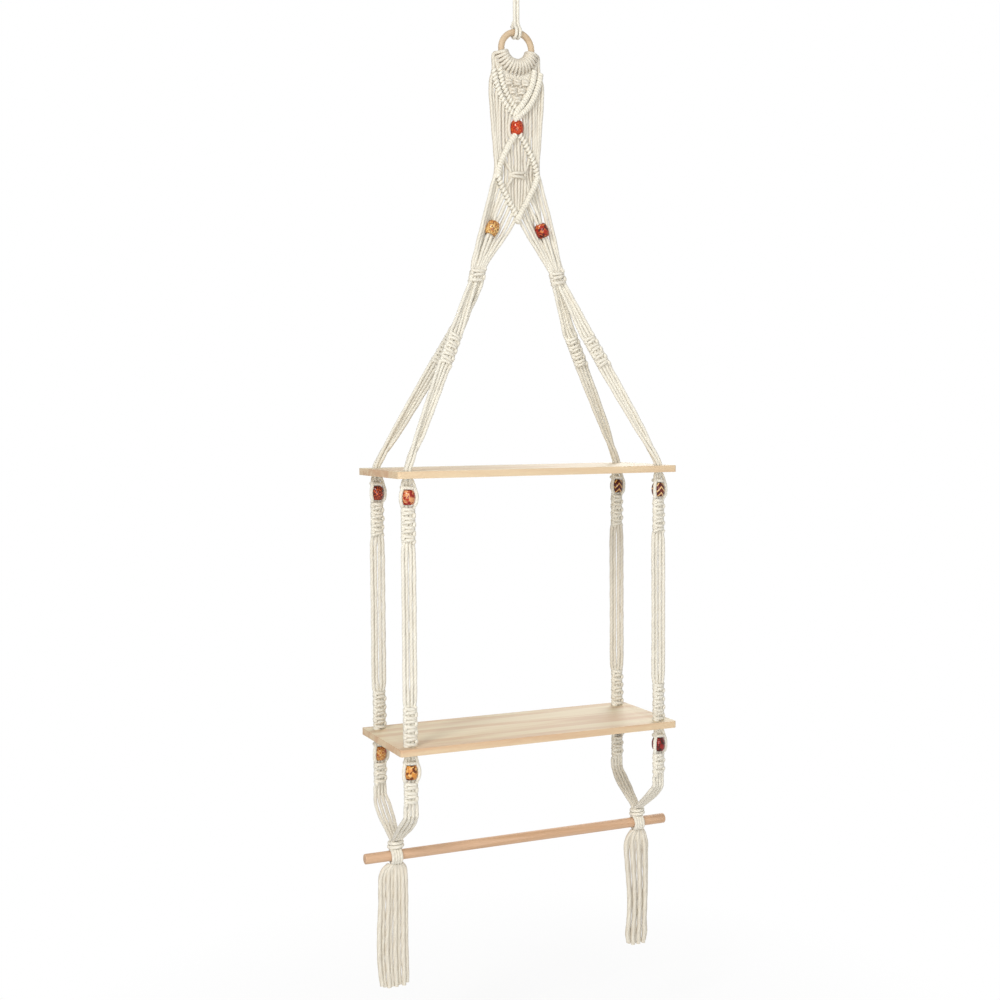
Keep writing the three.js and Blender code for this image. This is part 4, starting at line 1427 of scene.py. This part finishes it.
woods = {
    "pine": {
        "pale": (0.74, 0.65, 0.46), "dark": (0.60, 0.41, 0.26), "roughness": 0.6,
        # the last colour is painted shade with a warmer tint on the sides of the boards
        "stretch": (1.1, 17, 17), "rim": (0.98, 0.88, 0.81)},
    "beech": {
        "pale": (0.64, 0.42, 0.27), "dark": (0.54, 0.33, 0.19), "roughness": 0.55,
        "stretch": (2.5, 45, 45)},
    "ringWood": {
        "pale": (0.62, 0.48, 0.32), "dark": (0.50, 0.35, 0.21), "roughness": 0.5,
        "stretch": (18, 18, 18)},
}
grain = {
    "specular": 0.35,
    "bands": 26.0,
    "bandWarp": 0.6,
    "bandSharpness": 2.2,
    "bandShare": 0.62,
    "fibreFineness": 9,
    "fibreRange": (0.35, 0.7),
    "fibreShare": 0.4,
    "bump": (0.12, 0.0003),  # strength and height in metres
}


def woodMaterial(name):
    look = woods[name]
    material, tree, shader = newMaterial(
        name, {"Roughness": look["roughness"], "Specular IOR Level": grain["specular"]})
    place = addNode(tree, "ShaderNodeTexCoord").outputs["Object"]
    room, fineRoom = (
        addNode(
            tree, "ShaderNodeMapping",
            {"Vector": place, "Scale": tuple(s * finer for s in look["stretch"])})
        for finer in (1, grain["fibreFineness"]))
    broad = noise(tree, room, 1.0, 3.0, Distortion=grain["bandWarp"])
    fine = noise(tree, fineRoom, 1.0, 6.0, Roughness=0.7)
    wave = sums(tree, "SINE", sums(tree, "MULTIPLY", broad, grain["bands"]))
    bands = sums(
        tree, "POWER", sums(tree, "MULTIPLY_ADD", wave, 0.5, 0.5), grain["bandSharpness"])
    fibre = ranged(tree, fine, *grain["fibreRange"], 0.0, grain["fibreShare"])
    share = sums(tree, "MULTIPLY_ADD", bands, grain["bandShare"], fibre)
    colour = mixColours(tree, share, look["pale"], look["dark"])
    # painted shade with a warmer tint on the faces that don't face up
    if "rim" in look:
        rim = readShaderValue(tree, "rim").outputs["Fac"]
        colour = mixColours(tree, rim, colour, look["rim"], "MULTIPLY")
    finishShader(tree, shader, colour, share, *grain["bump"])
    return material


def newPiece(name, mesh, material, body, slot, *nodes):
    piece = newObject(name, mesh)
    mesh.materials.clear()
    mesh.materials.append(material)
    for face in mesh.polygons:
        face.use_smooth = True
    dress(piece, body, slot, *nodes)
    return piece


boards = {
    "length": 400.0,
    "depth": 150.0,
    "corner": 3.0,
    "cornerStep": 15,  # degrees between the points of a rounded corner
    "hole": 12.4,
    "holeSides": 40,
    "ease": 0.6,
    "sharpFrom": 50,  # degrees
}


def arc(x, y, radius, degrees):
    return [
        (x + radius * math.cos(a), y + radius * math.sin(a)) for a in np.radians(degrees)]


def boardMesh(name, top):
    look = boards
    r = look["corner"]
    cornerX, cornerY = look["length"] / 2 - r, look["depth"] / 2 - r
    outline = []
    for x, y, start in ((1, 1, 0), (-1, 1, 90), (-1, -1, 180), (1, -1, 270)):
        turns = range(start, start + 91, look["cornerStep"])
        outline += arc(x * cornerX, y * cornerY, r, turns)
    holeTurns = np.linspace(0, 360, look["holeSides"], endpoint=False)
    holes = [
        arc(x * places["holeX"], y * places["holeY"], look["hole"] / 2, holeTurns)
        for x, y in corners.values()]
    form = bmesh.new()
    edges = []
    for loop in (outline, *holes):
        verts = [form.verts.new((x * mm, y * mm, top * mm)) for x, y in loop]
        edges += [form.edges.new(pair) for pair in zip(verts, verts[1:] + verts[:1])]
    bmesh.ops.triangle_fill(form, use_beauty=True, edges=edges)
    bmesh.ops.dissolve_limit(
        form, angle_limit=0.01, verts=form.verts[:], edges=form.edges[:])
    made = bmesh.ops.extrude_face_region(form, geom=form.faces[:])
    for v in made["geom"]:
        if isinstance(v, bmesh.types.BMVert):
            v.co.z -= places["boardThickness"] * mm
    bmesh.ops.recalc_face_normals(form, faces=form.faces[:])
    rims = [e for e in form.edges if len(e.link_faces) == 2 and e.calc_face_angle(0) > 1.0]
    bmesh.ops.bevel(
        form, geom=rims, offset=look["ease"] * mm, segments=3, profile=0.5, affect="EDGES",
        clamp_overlap=True)
    bmesh.ops.recalc_face_normals(form, faces=form.faces[:])
    mesh = bpy.data.meshes.new(name)
    form.to_mesh(mesh)
    form.free()
    # 1 on the sides of the board and 0 on its faces, for their painted shade and warmer tint
    rim = [1.0 - min(1.0, abs(face.normal[2])) for face in mesh.polygons]
    storeAttribute(mesh, "rim", rim, domain="FACE")
    return mesh


pine = woodMaterial("pine")
for name, level, body in (
        ("top_board", "topBoard", "upper_tier"), ("lower_board", "lowerBoard", "lower_tier")):
    piece = newPiece(name + "_shaped", boardMesh(name, levels[level]), pine, body, "pine", name)
    piece.data.set_sharp_from_angle(angle=math.radians(boards["sharpFrom"]))
print("boards")


# Turns a profile, of distances from the axis and steps along it, about an axis.
def latheMesh(name, profile, steps, centre, axis, closed=False):
    axis = unit(np.array(axis, float))
    side = unit(np.cross(axis, zAxis if abs(axis[2]) < 0.9 else xAxis))
    other = np.cross(axis, side)
    vertices, faces = [], []
    count = len(profile)
    for k in range(steps):
        a = 2 * math.pi * k / steps
        out = side * math.cos(a) + other * math.sin(a)
        for r, h in profile:
            vertices.append(tuple((np.array(centre) + out * r + axis * h) * mm))
        row, nextRow = k * count, (k + 1) % steps * count
        for j in range(count if closed else count - 1):
            after = (j + 1) % count
            faces.append((row + j, nextRow + j, nextRow + after, row + after))
    mesh = bpy.data.meshes.new(name)
    mesh.from_pydata(vertices, [], faces)
    form = bmesh.new()
    form.from_mesh(mesh)
    bmesh.ops.remove_doubles(form, verts=form.verts[:], dist=1e-7)
    bmesh.ops.recalc_face_normals(form, faces=form.faces[:])
    form.to_mesh(mesh)
    form.free()
    return mesh


dowel = {
    "length": 448.0,
    "ease": 1.3,
    "easeFrom": 0.3,  # radians of the rounded edge that the flat end leaves out
    "easeSteps": 5,
    "rings": 12,
    "steps": 48,
    "sharpFrom": 60,  # degrees
}


def dowelPiece():
    look = dowel
    r, half, ease = places["rodRadius"], look["length"] / 2, look["ease"]
    end = [(0, -half), (r * 0.5, -half), (r - ease, -half)]
    end += [
        (r - ease + ease * math.sin(a), -half + ease - ease * math.cos(a))
        for a in np.linspace(look["easeFrom"], math.pi / 2, look["easeSteps"])]
    straight = [
        (r, -half + ease + (2 * half - 2 * ease) * k / look["rings"])
        for k in range(1, look["rings"])]
    profile = end + straight + [(r, -h) for r, h in reversed(end)]
    mesh = latheMesh("dowel", profile, look["steps"], (0, 0, levels["rod"]), (1, 0, 0))
    piece = newPiece(
        "dowel_turned", mesh, woodMaterial("beech"), "rod", "beech", "dowel")
    piece.data.set_sharp_from_angle(angle=math.radians(look["sharpFrom"]))


ringForm = {"sides": 28, "steps": 96}


def ringPiece():
    look = ringForm
    turns = np.linspace(0, 360, look["sides"], endpoint=False)
    profile = arc(places["ringRadius"], 0, places["ringTube"], turns)
    mesh = latheMesh(
        "ring", profile, look["steps"], (0, 0, levels["ring"]), (0, 1, 0), closed=True)
    newPiece(
        "wooden_ring_turned", mesh, woodMaterial("ringWood"), "ring", "ring_wood",
        "wooden_ring")


bead = {
    "halfHeight": 9.2,
    "endRadius": 5.9,
    "belly": (2.1, 0.7),  # powers of the barrel's curve
    "lip": 0.5,  # round the bore's ends
    "lipRise": 0.1,
    "steps": 40,
    "rows": 19,
    "swirl": 1.9,
    "swirlWarp": 1.2,
    "swirlRange": (0.46, 0.58),
    "shader": {
        "Roughness": 0.4, "Specular IOR Level": 0.05, "Coat Weight": 0.55,
        "Coat Roughness": 0.06},
}
# paint of each bead: ground, its other colour, painted marks, pattern of the marks
beadLooks = {
    "bead_centre": ((0.47, 0.022, 0.005), (0.22, 0.008, 0.004), (0.62, 0.13, 0.02), "flowers"),
    "bead_fan_left": (
        (0.76, 0.48, 0.17), (0.50, 0.18, 0.03), (0.14, 0.030, 0.007), "flowers"),
    "bead_fan_right": (
        (0.36, 0.02, 0.008), (0.60, 0.17, 0.04), (0.08, 0.007, 0.005), "mottled"),
    "bead_upper_back_left": (
        (0.17, 0.012, 0.008), (0.06, 0.006, 0.004), (0.62, 0.12, 0.035), "flowers"),
    "bead_upper_front_left": (
        (0.70, 0.33, 0.14), (0.40, 0.035, 0.012), (0.27, 0.010, 0.006), "mottled"),
    "bead_upper_back_right": (
        (0.09, 0.010, 0.006), (0.05, 0.005, 0.004), (0.64, 0.36, 0.11), "chevrons"),
    "bead_upper_front_right": (
        (0.13, 0.016, 0.008), (0.06, 0.008, 0.005), (0.72, 0.46, 0.20), "chevrons"),
    "bead_lower_front_left": (
        (0.66, 0.25, 0.040), (0.78, 0.48, 0.17), (0.15, 0.035, 0.007), "mottled"),
    "bead_lower_back_left": (
        (0.50, 0.20, 0.035), (0.30, 0.035, 0.010), (0.72, 0.46, 0.18), "flowers"),
    "bead_lower_front_right": (
        (0.30, 0.012, 0.008), (0.10, 0.006, 0.004), (0.05, 0.008, 0.004), "mottled"),
    "bead_lower_back_right": (
        (0.30, 0.012, 0.008), (0.10, 0.006, 0.004), (0.05, 0.008, 0.004), "mottled"),
}


# the patterns of the marks, in bead radii; a mark is where the value passes its range
beadPatterns = {
    "flowers": {"scale": 1.9, "scatter": 0.8, "rings": 17.0, "range": (0.45, 0.75)},
    "mottled": {"scale": 1.35, "detail": 2.0, "warp": 1.6, "range": (0.5, 0.53)},
    "chevrons": {"width": 0.6, "slope": 1.2, "spacing": 0.44, "range": (0.3, 0.33)},
}


# 1 on the painted marks of a bead and 0 beside them.
def beadMarks(tree, room, pattern):
    look = beadPatterns[pattern]
    if pattern == "flowers":
        cells = addNode(
            tree, "ShaderNodeTexVoronoi",
            {"Vector": room, "Scale": look["scale"], "Randomness": look["scatter"]},
            feature="F1")
        rings = sums(tree, "MULTIPLY", cells.outputs["Distance"], look["rings"])
        value = sums(tree, "SINE", rings)
    elif pattern == "mottled":
        value = noise(tree, room, look["scale"], look["detail"], Distortion=look["warp"])
    else:
        parts = addNode(tree, "ShaderNodeSeparateXYZ", {0: room}).outputs
        folded = sums(tree, "PINGPONG", parts["X"], look["width"])
        rising = sums(tree, "MULTIPLY_ADD", folded, look["slope"], parts["Z"])
        value = sums(tree, "PINGPONG", rising, look["spacing"])
    return ranged(tree, value, *look["range"])


def beadMaterial(name, ground, other, marks, pattern):
    material, tree, shader = newMaterial(name, bead["shader"])
    room = readShaderValue(tree, "beadSpace").outputs["Vector"]
    swirl = noise(tree, room, bead["swirl"], 3.0, Distortion=bead["swirlWarp"])
    under = mixColours(tree, ranged(tree, swirl, *bead["swirlRange"]), ground, other)
    finishShader(tree, shader, mixColours(tree, beadMarks(tree, room, pattern), under, marks))
    return material


# The names of a bead's node and of its body are the same.
def beadPiece(node, slot, centre, axis=(0, 0, 1)):
    look = bead
    r, bore = places["beadRadius"], places["beadBore"]
    top, end, lip, rise = (look[key] for key in ("halfHeight", "endRadius", "lip", "lipRise"))
    inner, outer = look["belly"]
    profile = []
    for share in np.sin(np.linspace(-math.pi / 2, math.pi / 2, look["rows"])):
        profile.append((end + (r - end) * (1 - abs(share) ** inner) ** outer, top * share))
    profile += [(bore + lip, top + rise), (bore, top - lip), (bore, 0), (bore, lip - top),
                (bore + lip, -top - rise)]
    mesh = latheMesh(node, profile, look["steps"], centre, axis, closed=True)
    room = [(np.array(v.co) / mm - np.array(centre)) / r for v in mesh.vertices]
    storeAttribute(mesh, "beadSpace", np.concatenate(room), "FLOAT_VECTOR")
    material = beadMaterial(node + "_paint", *beadLooks[node])
    newPiece(node + "_painted", mesh, material, node, slot, node)


dowelPiece()
ringPiece()
beadPiece("bead_centre", "bead_red", (0, 0, levels["ring"] - panel["beadDrop"]))
for name, side in sides.items():
    beadPiece("bead_fan_" + name, "bead_gold" if side < 0 else "bead_dark", *fanBead(side))
for name, corner in corners.items():
    beadPiece("bead_upper_" + name, "bead_dark", hole(corner, levels["upperBead"]))
    beadPiece(
        "bead_lower_" + name, "bead_gold" if corner[0] < 0 else "bead_dark",
        hole(corner, levels["lowerBead"]))
print("turned pieces")

room = {
    "floor": -1.45,
    "floorSize": 14.0,
    "floorColour": (0.9, 0.9, 0.9, 1),
    "floorShader": {"Roughness": 0.9, "Specular IOR Level": 0.0},
    # distance from the middle over which the floor fades into the white of the room
    "fade": (0.05, 0.7),
    "nearFade": 0.78,
    "world": 0.4,
}
lamps = {
    # place, point that it looks at, width, power
    "key": ((-2.3, -1.8, 1.3), (0, 0, -0.6), 0.9, 50.0),
    "fill": ((-0.8, -2.7, -0.35), (0, 0, -0.55), 1.6, 34.0),
    "back": ((1.9, 2.1, 0.5), (0, 0, -0.7), 1.6, 42.0),
}


# Camera rays and mirrored or transmitted rays see the room in full white.
def whiteRays(tree):
    rays = addNode(tree, "ShaderNodeLightPath").outputs
    seen = sums(tree, "MAXIMUM", rays["Is Camera Ray"], rays["Is Glossy Ray"])
    return sums(tree, "MAXIMUM", seen, rays["Is Transmission Ray"])


def makeFloor():
    s, z = room["floorSize"], room["floor"]
    mesh = bpy.data.meshes.new("floor")
    mesh.from_pydata([(-s, -s, z), (s, -s, z), (s, s, z), (-s, s, z)], [], [(0, 1, 2, 3)])
    floor = newObject("floor", mesh)
    material, tree, shader = newMaterial(
        "floor", {"Base Color": room["floorColour"], **room["floorShader"]})
    place = addNode(tree, "ShaderNodeTexCoord").outputs["Object"]
    away = addNode(
        tree, "ShaderNodeVectorMath", {0: place, 1: (0, 0, -z)}, operation="ADD")
    distance = addNode(tree, "ShaderNodeVectorMath", {0: away}, operation="LENGTH")
    fade = ranged(tree, distance.outputs["Value"], *room["fade"], room["nearFade"])
    share = sums(tree, "MULTIPLY", fade, whiteRays(tree))
    glow = addNode(tree, "ShaderNodeEmission", {"Color": (1, 1, 1, 1), "Strength": 1.0})
    blend = addNode(tree, "ShaderNodeMixShader", {0: share, 1: shader, 2: glow})
    tree.links.new(blend.outputs[0], tree.nodes["Material Output"].inputs["Surface"])
    mesh.materials.append(material)


def makeWorld():
    world = bpy.data.worlds.new("studio")
    bpy.context.scene.world = world
    world.use_nodes = True
    tree = world.node_tree
    strength = ranged(tree, whiteRays(tree), 0.0, 1.0, room["world"])
    background = tree.nodes["Background"]
    background.inputs["Color"].default_value = (1, 1, 1, 1)
    tree.links.new(strength.outputs[0], background.inputs["Strength"])


def makeLamps():
    for name, (place, aim, size, power) in lamps.items():
        lamp = bpy.data.lights.new(name, "AREA")
        lamp.energy = power
        lamp.size = size
        lampObject = newObject(name, lamp)
        lampObject.location = place
        x, y, z = np.array(aim) - np.array(place)
        lampObject.rotation_euler = (
            math.acos(-z / math.hypot(x, y, z)), 0, math.atan2(y, x) - math.pi / 2)


makeFloor()
makeWorld()
makeLamps()
bpy.context.scene.view_settings.view_transform = "Standard"
print("room")
